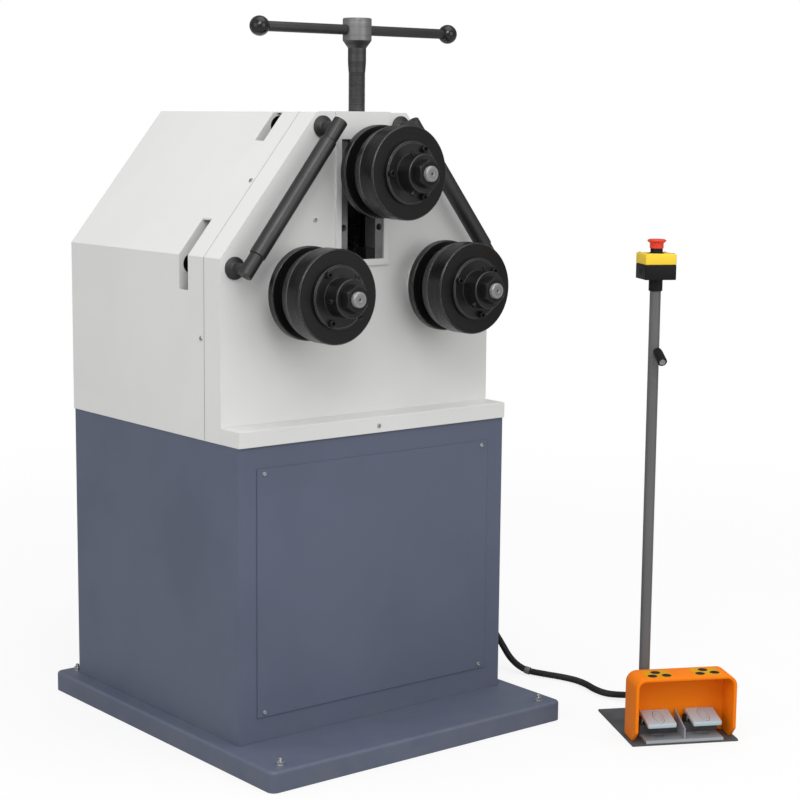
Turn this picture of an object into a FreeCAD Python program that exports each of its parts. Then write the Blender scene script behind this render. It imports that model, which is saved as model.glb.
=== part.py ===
import FreeCAD, Part
import math
import os
import re

import Sketcher

# Three-roll ring roller with a foot switch stand.
# Frame: +Z up, -Y is the working front, +X to the right seen from the front.
# Origin: on the floor, under the middle of the base tray.

# Driving sizes in millimetres and degrees: alias, value, meaning.
SIZES = [
    # base tray and levelling screws
    ("base_width", 714, "base tray, across"),
    ("base_depth", 800, "base tray, front to back"),
    ("base_height", 40, "base tray, floor to top face"),
    ("base_wall", 5, "base tray sheet"),
    ("base_corner", 15, "base tray corner radius, outside"),
    ("base_edge", 6, "base tray top edge radius"),
    ("base_return", 16, "flange that the tray stands on"),
    ("base_rib", 60, "width of the cross rib under the tray"),
    ("stud_inset_x", 38, "levelling screws in from the tray's sides"),
    ("stud_inset_y", 28, "levelling screws in from the tray's front and back"),
    ("stud_bore", 8, "levelling screw diameter"),
    ("stud_head", 14, "levelling screw above the tray"),
    ("stud_pad", 24, "levelling screw foot diameter"),
    # cabinet
    ("cabinet_step", 1.5, "cabinet side in from the housing side"),
    ("cabinet_front", 244, "cabinet front face, ahead of the origin"),
    ("cabinet_depth", 600, "cabinet, front to back"),
    ("cabinet_height", 564, "cabinet, tray to housing"),
    ("cabinet_wall", 3, "cabinet sheet"),
    ("panel_width", 564, "front panel, across"),
    ("panel_height", 474, "front panel, up"),
    ("panel_sheet", 2, "front panel sheet"),
    ("panel_rise", 2, "front panel above the middle of the cabinet front"),
    ("panel_lap", 26, "front panel lap over the cabinet opening"),
    ("panel_screw_inset", 16, "panel screws in from its sides"),
    ("panel_screw_end", 9, "panel screws in from its ends"),
    ("vent_width", 160, "rear vent slot, across"),
    ("vent_height", 6, "rear vent slot, up"),
    ("vent_pitch", 22, "rear vent slots, pitch"),
    ("vent_low", 120, "lowest rear vent slot above the tray"),
    ("bed_plate", 12, "inner frame bed"),
    ("bed_hole", 40, "cable hole radius in the bed"),
    # housing
    ("housing_width", 649, "housing, across"),
    ("housing_height", 609.4, "housing above the cabinet"),
    ("shoulder_height", 342.8, "housing side above the cabinet"),
    ("housing_crown", 216.2, "housing flat top, across"),
    ("plate_front", 189.5, "front plate face, ahead of the origin"),
    ("plate_depth", 54, "front plate, front to back"),
    ("plate_rim", 20, "front plate rim"),
    ("plate_web", 25, "front plate web"),
    ("plate_lip", 20, "front plate lip inside the cover"),
    ("plate_spine", 84, "solid middle of the front plate, half width"),
    ("ledge_front", 248.5, "ledge face, ahead of the origin"),
    ("ledge_height", 31, "ledge, up"),
    ("ledge_step", 0.8, "ledge end in from the housing side"),
    ("plate_screw_x", 110, "front plate screws from the middle"),
    ("plate_screw_rise", 408, "front plate screws above the cabinet"),
    ("cover_back", 358.7, "rear cover, behind the origin"),
    ("cover_wall", 2.5, "rear cover sheet"),
    ("cover_screw_rise", 191.5, "cover side screws above the cabinet"),
    ("access_front", 50.5, "access slots, rear edge ahead of the origin"),
    ("access_width", 31, "access slots, front to back"),
    ("access_low_bottom", 278, "lower access slot, bottom above the cabinet"),
    ("access_low_top", 410, "lower access slot, top above the cabinet"),
    ("access_low_reach", 54.5, "lower access slot, inward from the side"),
    ("access_top_bottom", 554.5, "upper access slot, bottom above the cabinet"),
    ("access_top_inner", 100, "upper access slot, inner end from the middle"),
    ("access_pocket", 40, "depth of the wall behind an access slot"),
    # slot, gibs and bridge
    ("slot_half", 51.5, "slide slot, half width"),
    ("slot_low", 330, "slide slot bottom above the cabinet"),
    ("gib_inner", 33.7, "gib inner edge from the middle"),
    ("gib_depth", 32, "gib, front to back"),
    ("gib_screw_pitch", 90, "gib screws, pitch"),
    ("gib_screw_low", 61, "lowest gib screw above the slot bottom"),
    ("slide_half", 36, "slide track in the plate, half width"),
    ("strip_width", 12.5, "raised strip beside the slot"),
    ("strip_proud", 5, "raised strip, proud of the plate"),
    ("bridge_height", 52.4, "screw bridge, up"),
    ("bridge_crown", 1.6, "screw bridge above the housing top"),
    ("stop_height", 20, "stop block, up"),
    ("stop_width", 22, "stop block, across"),
    # rolls
    ("roll_radius", 88, "roll radius"),
    ("roll_spacing", 329, "lower rolls, centre to centre"),
    ("lower_rise", 276.5, "lower rolls above the cabinet"),
    ("upper_rise", 222.2, "upper roll above the lower rolls"),
    ("roll_gap", 46.5, "front plate to the back disc"),
    ("disc_back", 16.5, "back disc thickness"),
    ("disc_bevel", 3, "disc rim bevel"),
    ("spacer_length", 22.5, "spacer between the discs"),
    ("spacer_radius", 60, "spacer radius"),
    ("disc_front", 39, "front disc rim"),
    ("disc_taper", 21, "front disc tapered band"),
    ("taper_drop", 5, "fall of the tapered band"),
    ("flange_radius", 59.5, "hub flange radius"),
    ("flange_thick", 7, "hub flange thickness"),
    ("boss_radius", 36, "hub boss radius"),
    ("boss_length", 36, "hub boss length"),
    ("hub_cap", 14, "hub boss closed end, round the thread"),
    ("nut_flats", 46, "shaft nut across flats"),
    ("nut_height", 17, "shaft nut height"),
    ("shaft_radius", 25, "roll shaft radius"),
    ("collar_radius", 32, "roll shaft collar radius"),
    ("thread_radius", 14.75, "threaded shaft end radius"),
    ("thread_proud", 6.5, "shaft end beyond the nut"),
    ("centre_radius", 2.3, "centre hole in the shaft end"),
    ("hub_screw_circle", 51, "hub screws, circle radius"),
    ("hub_screw_head", 6.5, "hub screw head radius"),
    ("hub_screw_tall", 8.5, "hub screw head height"),
    ("hub_screw_shank", 4, "hub screw shank radius"),
    ("hub_screw_reach", 20, "hub screw length in the disc"),
    ("lock_screw_radius", 3, "boss lock screw radius"),
    ("lock_screw_head", 4.6, "boss lock screw head radius"),
    ("lock_screw_tall", 4, "boss lock screw head height"),
    ("lock_screw_proud", 9.5, "boss lock screw beyond the boss"),
    ("lock_screw_foot", 20, "boss lock screw's inner end from the axis"),
    ("lock_screw_back", 9, "boss lock screws behind the boss end"),
    ("run", 0.05, "radial running clearance of a shaft"),
    ("seat", 0.3, "gap between pieces that don't rub"),
    # bearings and drive
    ("bearing_radius", 45, "roll bearing outside radius"),
    ("bearing_flange", 52, "bearing flange radius"),
    ("bearing_cap", 10, "bearing flange thickness"),
    ("needle_radius", 31, "slide bearing outside radius"),
    ("frame_face", 60, "rear upright, behind the origin"),
    ("frame_plate", 25, "rear upright thickness"),
    ("frame_width", 480, "rear upright, across"),
    ("frame_rib", 150, "gusset in front of the rear upright, each way"),
    ("frame_height", 380, "rear upright above the bed"),
    ("gear_module", 5, "gear module"),
    ("gear_teeth", 40, "teeth of a drive gear"),
    ("pinion_teeth", 36, "teeth of the drive pinion"),
    ("gear_face", 36, "gear face width"),
    ("gear_front", 42, "gear front face, ahead of the origin"),
    ("pinion_shaft", 20, "drive pinion shaft radius"),
    ("gearbox_width", 190, "gearbox, across"),
    ("gearbox_height", 220, "gearbox, up"),
    ("gearbox_depth", 150, "gearbox, front to back"),
    ("gearbox_seat", 10, "gearbox pad against the rear upright"),
    ("motor_radius", 72, "motor body radius"),
    ("motor_length", 205, "motor body length"),
    ("motor_drop", 40, "motor axis below the gearbox middle"),
    # slide and lift screw
    ("slide_below", 42, "slide block below the upper roll"),
    ("slide_above", 52, "slide block above the upper roll"),
    ("slide_flange", 60, "slide flange, half width"),
    ("slide_flange_depth", 40, "slide flange, front to back"),
    ("slide_run", 0.15, "slide clearance on each side"),
    ("screw_axis", 172, "lift screw axis, ahead of the origin"),
    ("screw_radius", 16, "lift screw thread radius"),
    ("screw_stem", 17.3, "lift screw stem radius"),
    ("screw_thread", 135, "lift screw thread length above the slide"),
    ("screw_pintle", 10, "lift screw pintle radius"),
    ("pintle_depth", 20, "lift screw pintle length"),
    ("tee_height", 120.6, "tee boss foot above the housing top"),
    ("tee_cone", 14, "tee boss cone height"),
    ("tee_radius", 27.5, "tee boss radius"),
    ("tee_length", 42, "tee boss height"),
    ("tee_bar_drop", 22.4, "handle bar below the top of the boss"),
    ("bar_radius", 9.5, "handle bar radius"),
    ("ball_radius", 18.5, "handle ball radius"),
    ("ball_reach", 224.4, "handle ball from the screw axis"),
    ("ball_socket", 12, "handle bar end inside a ball"),
    # guides
    ("guide_stand", 45.5, "guide bar axis ahead of the front plate"),
    ("guide_top_inset", 23.1, "guide bar upper end in from the end of the housing top"),
    ("guide_top_drop", 16.4, "guide bar upper end below the housing top"),
    ("guide_low_inset", 22.9, "guide bar lower end in from the housing side"),
    ("guide_low_drop", 29.2, "guide bar lower end below the housing shoulder"),
    ("guide_block", 45, "guide end block length"),
    ("guide_block_radius", 14, "guide end block radius"),
    ("guide_sleeve_radius", 16, "guide sleeve radius"),
    ("guide_rod_radius", 9, "guide rod radius"),
    ("guide_post_inset", 14, "guide posts in from the bar ends"),
    ("guide_post_radius", 10, "guide post radius"),
    ("guide_flange_radius", 21.2, "guide post flange radius"),
    ("guide_flange", 4, "guide post flange thickness"),
    ("guide_tail", 81, "guide post behind the front plate"),
    ("guide_nut_radius", 15.5, "guide post nut radius"),
    ("guide_nut", 22, "guide post nut length"),
    # cover screws
    ("small_screw_radius", 4.5, "small screw head radius"),
    ("small_screw_head", 2.2, "small screw head height"),
    ("small_screw_shank", 2.5, "small screw shank radius"),
    ("small_screw_reach", 10, "small screw length"),
    # electrical parts
    ("box_width", 120, "electrical box off the cabinet side"),
    ("box_depth", 300, "electrical box, front to back"),
    ("box_height", 300, "electrical box, up"),
    ("box_low", 130, "electrical box above the tray"),
    ("gland_radius", 12, "gland dome radius"),
    ("gland_length", 26, "gland, wall to mouth"),
    ("gland_nut", 7, "gland hexagon thickness"),
    ("gland_flats", 28, "gland across flats"),
    ("mains_bore", 6, "mains gland bore radius"),
    ("mains_x", 200, "mains gland from the middle"),
    ("mains_rise", 80, "mains gland above the tray"),
    ("cable_radius", 7.1, "control cable radius"),
    # foot switch stand, in its own frame at the plate's front left corner
    ("stand_x", 349.6, "stand corner, right of the origin"),
    ("stand_y", -608.6, "stand corner, behind the origin"),
    ("stand_turn", -27.8, "stand turned about the vertical"),
    ("foot_width", 216, "stand plate, across"),
    ("foot_depth", 228, "stand plate, front to back"),
    ("foot_plate", 4, "stand plate thickness"),
    ("hood_left", 5, "hood from the plate's left edge"),
    ("hood_front", 1, "hood from the plate's front edge"),
    ("hood_width", 206, "hood, across"),
    ("hood_depth", 68.5, "hood, front to back"),
    ("hood_top", 133.2, "hood top above the floor"),
    ("hood_wall", 6.5, "hood wall"),
    ("hood_corner", 21, "hood corner radius, outside"),
    ("hood_toe_up", 22, "hood toe chamfer, up"),
    ("hood_toe_back", 22, "hood toe chamfer, back"),
    ("tray_left", 27.9, "pedal tray from the plate's left edge"),
    ("tray_width", 158, "pedal tray, across"),
    ("tray_thick", 5, "pedal tray thickness"),
    ("tray_bevel", 3, "pedal tray front bevel"),
    ("recess_radius", 12.3, "round tray recess, radius"),
    ("recess_depth", 2, "round tray recess, depth"),
    ("recess_line", 33, "round tray recesses from the plate's front edge"),
    ("switch_front", 44, "switch block from the plate's front edge"),
    ("switch_rise", 28, "switch block top above the floor"),
    ("coil_wire", 1.1, "pedal spring wire radius"),
    ("coil_room", 14, "space for the pedal spring on the pivot pin"),
    ("divider_thick", 3, "divider between the pedals"),
    ("divider_low", 22, "divider height above the tray, front"),
    ("divider_high", 42, "divider height above the tray, back"),
    ("pedal_left_x", 32.8, "left pedal from the plate's left edge"),
    ("pedal_right_x", 125.6, "right pedal from the plate's left edge"),
    ("pedal_width", 58.4, "pedal, across"),
    ("pedal_front", 6, "pedal front edge from the plate's front"),
    ("pedal_length", 57.5, "pedal, front to back"),
    ("pedal_thick", 8, "pedal thickness"),
    ("pedal_low", 40, "pedal top at its front edge"),
    ("pedal_slope", 13, "pedal slope at rest"),
    ("pivot_back", 54, "pedal pivot from the plate's front edge"),
    ("pivot_rise", 36, "pedal pivot above the floor"),
    ("pivot_radius", 3, "pedal pivot pin radius"),
    ("pivot_lug", 7, "pedal pivot lug radius"),
    ("pivot_ear", 4.5, "pedal pivot lug thickness"),
    ("post_x", 48.8, "post from the plate's left edge"),
    ("post_y", 88, "post from the plate's front edge"),
    ("post_radius", 10.6, "post radius"),
    ("post_wall", 2, "post wall"),
    ("post_top", 902.5, "post top above the floor"),
    ("post_foot_radius", 17, "post foot radius"),
    ("post_foot", 8, "post foot height"),
    ("collar_height", 23, "collar under the stop box"),
    ("collar_wall", 2.7, "collar wall"),
    ("stop_box", 62, "stop box, each side"),
    ("stop_base", 29, "stop box base height"),
    ("stop_lid", 20.5, "stop box lid height"),
    ("stop_wall", 2.5, "stop box wall"),
    ("stop_neck_radius", 11.8, "stop button neck radius"),
    ("stop_neck", 9, "stop button neck height"),
    ("stop_stem_radius", 6, "stop button stem radius"),
    ("stop_grip_radius", 13.2, "stop button grip radius"),
    ("stop_grip", 10.5, "stop button grip height"),
    ("stop_cap_radius", 18, "stop button cap radius"),
    ("stop_cap", 7.5, "stop button cap height"),
    ("stop_travel", 5, "stop button travel"),
    ("knock_radius", 6, "round knock-out in the stop box"),
    ("clamp_rise", 763, "post clamp screw above the floor"),
    ("clamp_stud", 4, "post clamp screw radius"),
    ("clamp_radius", 9.3, "post clamp handle radius"),
    ("clamp_length", 40, "post clamp handle length"),
    ("clamp_droop", 27, "post clamp handle below level"),
]
SIZE = {name: value for name, value, meaning in SIZES}

# Heights and depths that many pieces share, as formulas over the sizes.
BED = "(base_height + cabinet_height)"
SHOULDER = f"({BED} + shoulder_height)"
CROWN = f"({BED} + housing_height)"
LOWER = f"({BED} + lower_rise)"
UPPER = f"({LOWER} + upper_rise)"
CABINET_BACK = "(cabinet_depth - cabinet_front)"
PLATE_FACE = "(-plate_front)"
PLATE_BACK = "(plate_depth - plate_front)"
SLOT_LOW = f"({BED} + slot_low)"
BRIDGE_TOP = f"({CROWN} + bridge_crown)"
BRIDGE_LOW = f"({BRIDGE_TOP} - bridge_height)"
SLIDE_LOW = f"({UPPER} - slide_below)"
SLIDE_TOP = f"({UPPER} + slide_above)"
SCREW_Y = "(-screw_axis)"
TEE_LOW = f"({CROWN} + tee_height)"
TEE_TOP = f"({TEE_LOW} + tee_cone + tee_length)"
GUIDE_Y = "(-plate_front - guide_stand)"
GUIDE_TOP_X = "(housing_crown / 2 - guide_top_inset)"
GUIDE_LOW_X = "(housing_width / 2 - guide_low_inset)"
GUIDE_TOP_RISE = "(housing_height - guide_top_drop)"
GUIDE_LOW_RISE = "(shoulder_height - guide_low_drop)"
CABINET_SIDE = "(housing_width / 2 - cabinet_step)"
PANEL_LOW = "(base_height + (cabinet_height - panel_height) / 2 + panel_rise)"
# Distances ahead of the origin along a roll, from the housing outwards.
ROLL_START = "(plate_front + roll_gap)"
SPACER_START = f"({ROLL_START} + disc_back)"
TAPER_START = f"({SPACER_START} + spacer_length)"
RIM_START = f"({TAPER_START} + disc_taper)"
FLANGE_START = f"({RIM_START} + disc_front)"
BOSS_START = f"({FLANGE_START} + flange_thick)"
NUT_START = f"({BOSS_START} + boss_length)"
NUT_END = f"({NUT_START} + nut_height)"
SHAFT_END = f"({NUT_END} + thread_proud)"

# Control cable: centre line chosen by hand, on the floor between its two glands.
CABLE_START_Y = -4
CABLE_START_Z = 177
CABLE_ROUTE = [
    (391, -4, 177), (433, -8, 161), (468, -15, 131), (493, -28, 94), (507, -49, 56), (507, -81, 25),
    (512, -120, 8.5), (528, -161, 7.4), (544, -200, 7.4), (554, -239, 7.4), (550, -277, 7.4),
    (538, -313, 7.4), (536, -351, 7.6), (546, -386, 12), (564, -420, 16.5), (579, -455, 17),
    (582, -492, 18.5), (572, -529, 24),
]
# Where the cable meets the hood, in the stand's own frame, and its straight run there.
HOOD_GLAND_X = 160
HOOD_GLAND_Z = 30
HOOD_RUN = 38

STUD_SIDES = [(-1, -1), (1, -1), (-1, 1), (1, 1)]
SIDES = [("left", -1), ("right", 1)]
# Cover's slope screws: share of the slope's length up from the shoulder.
SLOPE_SCREW = 0.52
# Turn of each roll's hub screws about its axis, in degrees from +X towards +Z.
HUB_TURN = {"upper": 60, "lower_left": 17, "lower_right": 19}
HUB_STEPS = (0, 120, 240)
# Turns of a pedal spring on its pivot pin.
COILS = 6

V = FreeCAD.Vector
ALIASES = re.compile(r"\b(" + "|".join(SIZE) + r")\b")
AXES = {
    "X": FreeCAD.Rotation(V(0, 1, 0), 90),
    "Y": FreeCAD.Rotation(V(1, 0, 0), -90),
    "Z": FreeCAD.Rotation(),
}
FORWARD = FreeCAD.Rotation(V(1, 0, 0), 90)
# Sign of the sketch normal on each origin plane.
NORMALS = {"XY_Plane": 1, "XZ_Plane": -1, "YZ_Plane": 1}

doc = FreeCAD.newDocument("ring_roller")
NODES = {}


def make_sheet():
    """Write every driving size into the sheet under its alias."""
    sheet = doc.addObject("Spreadsheet::Sheet", "Dims")
    for row, (name, value, meaning) in enumerate(SIZES, 1):
        sheet.set(f"A{row}", meaning)
        sheet.set(f"B{row}", str(value))
        sheet.setAlias(f"B{row}", name)
    doc.recompute()


def linked(formula):
    """Point the names in a formula at the sheet."""
    return ALIASES.sub(r"Dims.\1", str(formula))


def bind(obj, **formulas):
    """Tie properties to formulas; a double underscore stands for a dot."""
    for prop, formula in formulas.items():
        obj.setExpression(prop.replace("__", "."), linked(formula))
    return obj


def locate(obj, x, y, z):
    return bind(obj, Placement__Base__x=x, Placement__Base__y=y, Placement__Base__z=z)


def along(axis, start, across):
    """Put a start on one axis and a pair on the other two, in X, Y, Z order."""
    spot = list(across)
    spot.insert("XYZ".index(axis), start)
    return spot


def block(x, y, z):
    """A box between two formulas on each axis."""
    box = doc.addObject("Part::Box", "Block")
    bind(box, Length=f"{x[1]} - ({x[0]})", Width=f"{y[1]} - ({y[0]})", Height=f"{z[1]} - ({z[0]})")
    return locate(box, x[0], y[0], z[0])


def rod(axis, radius, start, end, across):
    """A cylinder along an axis, centred on across."""
    cylinder = doc.addObject("Part::Cylinder", "Rod")
    cylinder.Placement.Rotation = AXES[axis]
    bind(cylinder, Radius=radius, Height=f"{end} - ({start})")
    return locate(cylinder, *along(axis, start, across))


def cone(axis, radius_start, radius_end, start, end, across):
    frustum = doc.addObject("Part::Cone", "Cone")
    frustum.Placement.Rotation = AXES[axis]
    bind(frustum, Radius1=radius_start, Radius2=radius_end, Height=f"{end} - ({start})")
    return locate(frustum, *along(axis, start, across))


def hexagon(axis, flats, start, end, across):
    prism = doc.addObject("Part::Prism", "Hexagon")
    prism.Polygon = 6
    prism.Placement.Rotation = AXES[axis]
    bind(prism, Circumradius=f"({flats}) / sqrt(3)", Height=f"{end} - ({start})")
    return locate(prism, *along(axis, start, across))


def ball(radius, x, y, z):
    return locate(bind(doc.addObject("Part::Sphere", "Ball"), Radius=radius), x, y, z)


def fuse(*pieces):
    joined = doc.addObject("Part::MultiFuse", "Fuse")
    joined.Shapes = list(pieces)
    return joined


def cut(base, *tools):
    removed = doc.addObject("Part::Cut", "Cut")
    removed.Base = base
    removed.Tool = tools[0] if len(tools) == 1 else fuse(*tools)
    return removed


def shared(first, second):
    both = doc.addObject("Part::Common", "Common")
    both.Base = first
    both.Tool = second
    return both


def group(*pieces):
    """Separate solids that share one node."""
    together = doc.addObject("Part::Compound", "Group")
    together.Links = list(pieces)
    return together


def node(name, obj):
    """Name a finished sub-part; the name is its file's."""
    obj.Label = name
    NODES[name] = obj
    return obj


def origin_plane(body, role):
    return next(item for item in body.Origin.OriginFeatures if item.Role == role)


def new_sketch(body, role, offset):
    sketch = body.newObject("Sketcher::SketchObject", "Outline")
    sketch.AttachmentSupport = [(origin_plane(body, role), "")]
    sketch.MapMode = "FlatFace"
    return bind(sketch, AttachmentOffset__Base__z=offset)


def draw(sketch, points):
    """Close a polygon whose every corner is tied to two formulas."""
    count = len(points)
    spots = [V(math.cos(2 * math.pi * k / count), math.sin(2 * math.pi * k / count), 0) for k in range(count)]
    first = sketch.GeometryCount
    for k in range(count):
        sketch.addGeometry(Part.LineSegment(spots[k], spots[(k + 1) % count]), False)
    for k in range(count):
        sketch.addConstraint(Sketcher.Constraint("Coincident", first + k, 2, first + (k + 1) % count, 1))
    for k, (across, up) in enumerate(points):
        for kind, formula, value in (("DistanceX", across, spots[k].x), ("DistanceY", up, spots[k].y)):
            index = sketch.addConstraint(Sketcher.Constraint(kind, -1, 1, first + k, 1, value))
            sketch.setExpression(f"Constraints[{index}]", linked(formula))


def draw_circle(sketch, radius):
    """A circle about the sketch's origin."""
    circle = sketch.addGeometry(Part.Circle(V(0, 0, 0), V(0, 0, 1), 1), False)
    sketch.addConstraint(Sketcher.Constraint("Coincident", circle, 3, -1, 1))
    index = sketch.addConstraint(Sketcher.Constraint("Radius", circle, 1))
    sketch.setExpression(f"Constraints[{index}]", linked(radius))


def slab(role, points, start, end):
    """A padded polygon between two places on the plane's own axis."""
    body = doc.addObject("PartDesign::Body", "Body")
    sign = NORMALS[role]
    near = start if sign > 0 else end
    sketch = new_sketch(body, role, f"{sign} * ({near})")
    draw(sketch, points)
    pad = body.newObject("PartDesign::Pad", "Pad")
    pad.Profile = sketch
    bind(pad, Length=f"{end} - ({start})")
    return body


def turned(points, rotation, x, y, z):
    """A body turned about its own Z from (radius, height) corners, then placed."""
    body = doc.addObject("PartDesign::Body", "Body")
    sketch = new_sketch(body, "XZ_Plane", 0)
    draw(sketch, points)
    spin = body.newObject("PartDesign::Revolution", "Revolution")
    spin.Profile = sketch
    spin.ReferenceAxis = (sketch, ["V_Axis"])
    spin.Angle = 360
    body.Placement.Rotation = rotation
    return locate(body, x, y, z)


def roll_body(points, x, z):
    """A turned body on a roll axis; heights count forward from the origin."""
    return turned(points, FORWARD, x, 0, z)


def round_edges(body, radius, chosen):
    """Fillet the edges of a body that a test picks."""
    doc.recompute()
    tip = body.Tip
    names = [f"Edge{k}" for k, edge in enumerate(tip.Shape.Edges, 1) if chosen(edge)]
    fillet = body.newObject("PartDesign::Fillet", "Fillet")
    fillet.Base = (tip, names)
    bind(fillet, Radius=radius)
    return body


def is_upright(edge):
    low, high = edge.BoundBox.ZMin, edge.BoundBox.ZMax
    return high - low > 1 and edge.BoundBox.XLength < 0.001 and edge.BoundBox.YLength < 0.001


def on_height(height):
    def chosen(edge):
        return abs(edge.BoundBox.ZMin - height) < 0.001 and abs(edge.BoundBox.ZMax - height) < 0.001
    return chosen


def rectangle(x0, x1, y0, y1):
    return [(x0, y0), (x1, y0), (x1, y1), (x0, y1)]


def pentagon(inset, low, top_inset=None):
    """The housing's profile in X and Z, moved inward by an inset."""
    top = inset if top_inset is None else top_inset
    slope = "atan((housing_height - shoulder_height) / ((housing_width - housing_crown) / 2))"
    side = f"(housing_width / 2 - ({inset}))"
    side_top = f"({SHOULDER} - ({inset}) * tan((90 deg - {slope}) / 2))"
    crown = f"(housing_crown / 2 - ({top}) * tan({slope} / 2))"
    crown_top = f"({CROWN} - ({top}))"
    right = [(side, low), (side, side_top), (crown, crown_top)]
    left = [(f"-{across}", up) for across, up in reversed(right)]
    return right + left


def screw(axis, sign, seat, across, head=None, shank=None, height=None, reach=None):
    """A round head standing on seat, its shank behind it; sign is the way it faces."""
    head_end = f"({seat}) + {sign} * ({height or 'small_screw_head'})"
    shank_end = f"({seat}) - {sign} * ({reach or 'small_screw_reach'})"
    heads = (seat, head_end) if sign > 0 else (head_end, seat)
    shanks = (shank_end, seat) if sign > 0 else (seat, shank_end)
    return fuse(rod(axis, head or "small_screw_radius", *heads, across),
                rod(axis, shank or "small_screw_shank", *shanks, across))


# ---------------------------------------------------------------- base and cabinet

def base_parts():
    half_x, half_y = "base_width / 2", "base_depth / 2"
    tray = slab("XY_Plane", rectangle(f"-{half_x}", half_x, f"-{half_y}", half_y), 0, "base_height")
    round_edges(tray, "base_corner", is_upright)
    round_edges(tray, "base_edge", on_height(SIZE["base_height"]))
    inner_x, inner_y = f"({half_x} - base_wall)", f"({half_y} - base_wall)"
    mouth_x, mouth_y = f"({half_x} - base_return)", f"({half_y} - base_return)"
    roof = "(base_height - base_wall)"
    hollow = block((f"-{inner_x}", inner_x), (f"-{inner_y}", inner_y), ("base_wall", roof))
    mouth = block((f"-{mouth_x}", mouth_x), (f"-{mouth_y}", mouth_y), (0, "base_wall"))
    rib = block((f"-{inner_x}", inner_x), ("-base_rib / 2", "base_rib / 2"), (0, roof))
    stud_holes = [
        rod("Z", "stud_bore / 2 + run", roof, "base_height", stud_spot(sx, sy)) for sx, sy in STUD_SIDES
    ]
    node("base_tray", fuse(cut(tray, hollow, mouth, *stud_holes), rib))
    studs = []
    for sx, sy in STUD_SIDES:
        spot = stud_spot(sx, sy)
        studs.append(fuse(
            rod("Z", "stud_bore / 2", "base_wall", "base_height + stud_head", spot),
            rod("Z", "stud_pad / 2", 0, "base_wall", spot),
            rod("Z", "stud_bore * 1.1", "base_height", "base_height + stud_bore / 5", spot),
            hexagon("Z", "stud_bore * 1.6", "base_height + stud_bore / 5", "base_height + stud_bore", spot),
        ))
    node("levelling_screws", group(*studs))


def stud_spot(sx, sy):
    return f"{sx} * (base_width / 2 - stud_inset_x)", f"{sy} * (base_depth / 2 - stud_inset_y)"


def cabinet_parts():
    side, front, wall = CABINET_SIDE, "-cabinet_front", "cabinet_wall"
    inner = f"({side} - {wall})"
    outer = block((f"-{side}", side), (front, CABINET_BACK), ("base_height", BED))
    hollow = block((f"-{inner}", inner), (f"{front} + {wall}", f"{CABINET_BACK} - {wall}"),
                   (f"base_height + {wall}", BED))
    foot = "base_return * 2"
    footprint = block((f"-{side} + {foot}", f"{side} - {foot}"),
                      (f"{front} + {foot}", f"{CABINET_BACK} - {foot}"), ("base_height", f"base_height + {wall}"))
    half_door = "(panel_width / 2 - panel_lap)"
    low = PANEL_LOW
    door = block((f"-{half_door}", half_door), (front, f"{front} + {wall}"),
                 (f"{low} + panel_lap", f"{low} + panel_height - panel_lap"))
    vents = [
        block(("-vent_width / 2", "vent_width / 2"), (f"{CABINET_BACK} - {wall}", CABINET_BACK),
              (f"base_height + vent_low + {k} * vent_pitch",
               f"base_height + vent_low + {k} * vent_pitch + vent_height"))
        for k in range(8)
    ]
    cable_hole = rod("X", "cable_radius + seat", inner, side, (CABLE_START_Y, CABLE_START_Z))
    mains_hole = rod("Y", "mains_bore + seat", f"{CABINET_BACK} - {wall}", CABINET_BACK,
                     ("mains_x", "base_height + mains_rise"))
    screw_holes = [
        rod("Y", "small_screw_shank + run", front, f"{front} + {wall}", spot) for spot in panel_screw_spots()
    ]
    node("cabinet_shell",
         cut(outer, hollow, footprint, door, cable_hole, mains_hole, *vents, *screw_holes))
    half = "panel_width / 2"
    panel = block((f"-{half}", half), (f"{front} - panel_sheet", front), (low, f"{low} + panel_height"))
    panel_holes = [
        rod("Y", "small_screw_shank + run", f"{front} - panel_sheet", front, spot) for spot in panel_screw_spots()
    ]
    node("front_panel", cut(panel, *panel_holes))
    node("electrical_box", electrical_box(inner))


def panel_screw_spots():
    low = PANEL_LOW
    across = "(panel_width / 2 - panel_screw_inset)"
    return [(f"{side} * {across}", up)
            for side in (-1, 1) for up in (f"{low} + panel_screw_end", f"{low} + panel_height - panel_screw_end")]


def electrical_box(inner):
    """Contactor box on the cabinet's left side, with its door and a round lock."""
    low = "(base_height + box_low)"
    back = f"({CABINET_BACK} - cabinet_wall - box_depth / 3)"
    body = block((f"-{inner}", f"box_width - {inner}"), (f"{back} - box_depth", back), (low, f"{low} + box_height"))
    lid = block((f"box_width - {inner}", f"box_width - {inner} + panel_sheet"),
                (f"{back} - box_depth + panel_sheet", f"{back} - panel_sheet"),
                (f"{low} + panel_sheet", f"{low} + box_height - panel_sheet"))
    lock = rod("X", "gland_radius", f"box_width - {inner}", f"box_width - {inner} + gland_nut",
               (f"{back} - box_depth + gland_flats", f"{low} + box_height / 2"))
    return fuse(body, lid, lock)


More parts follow.
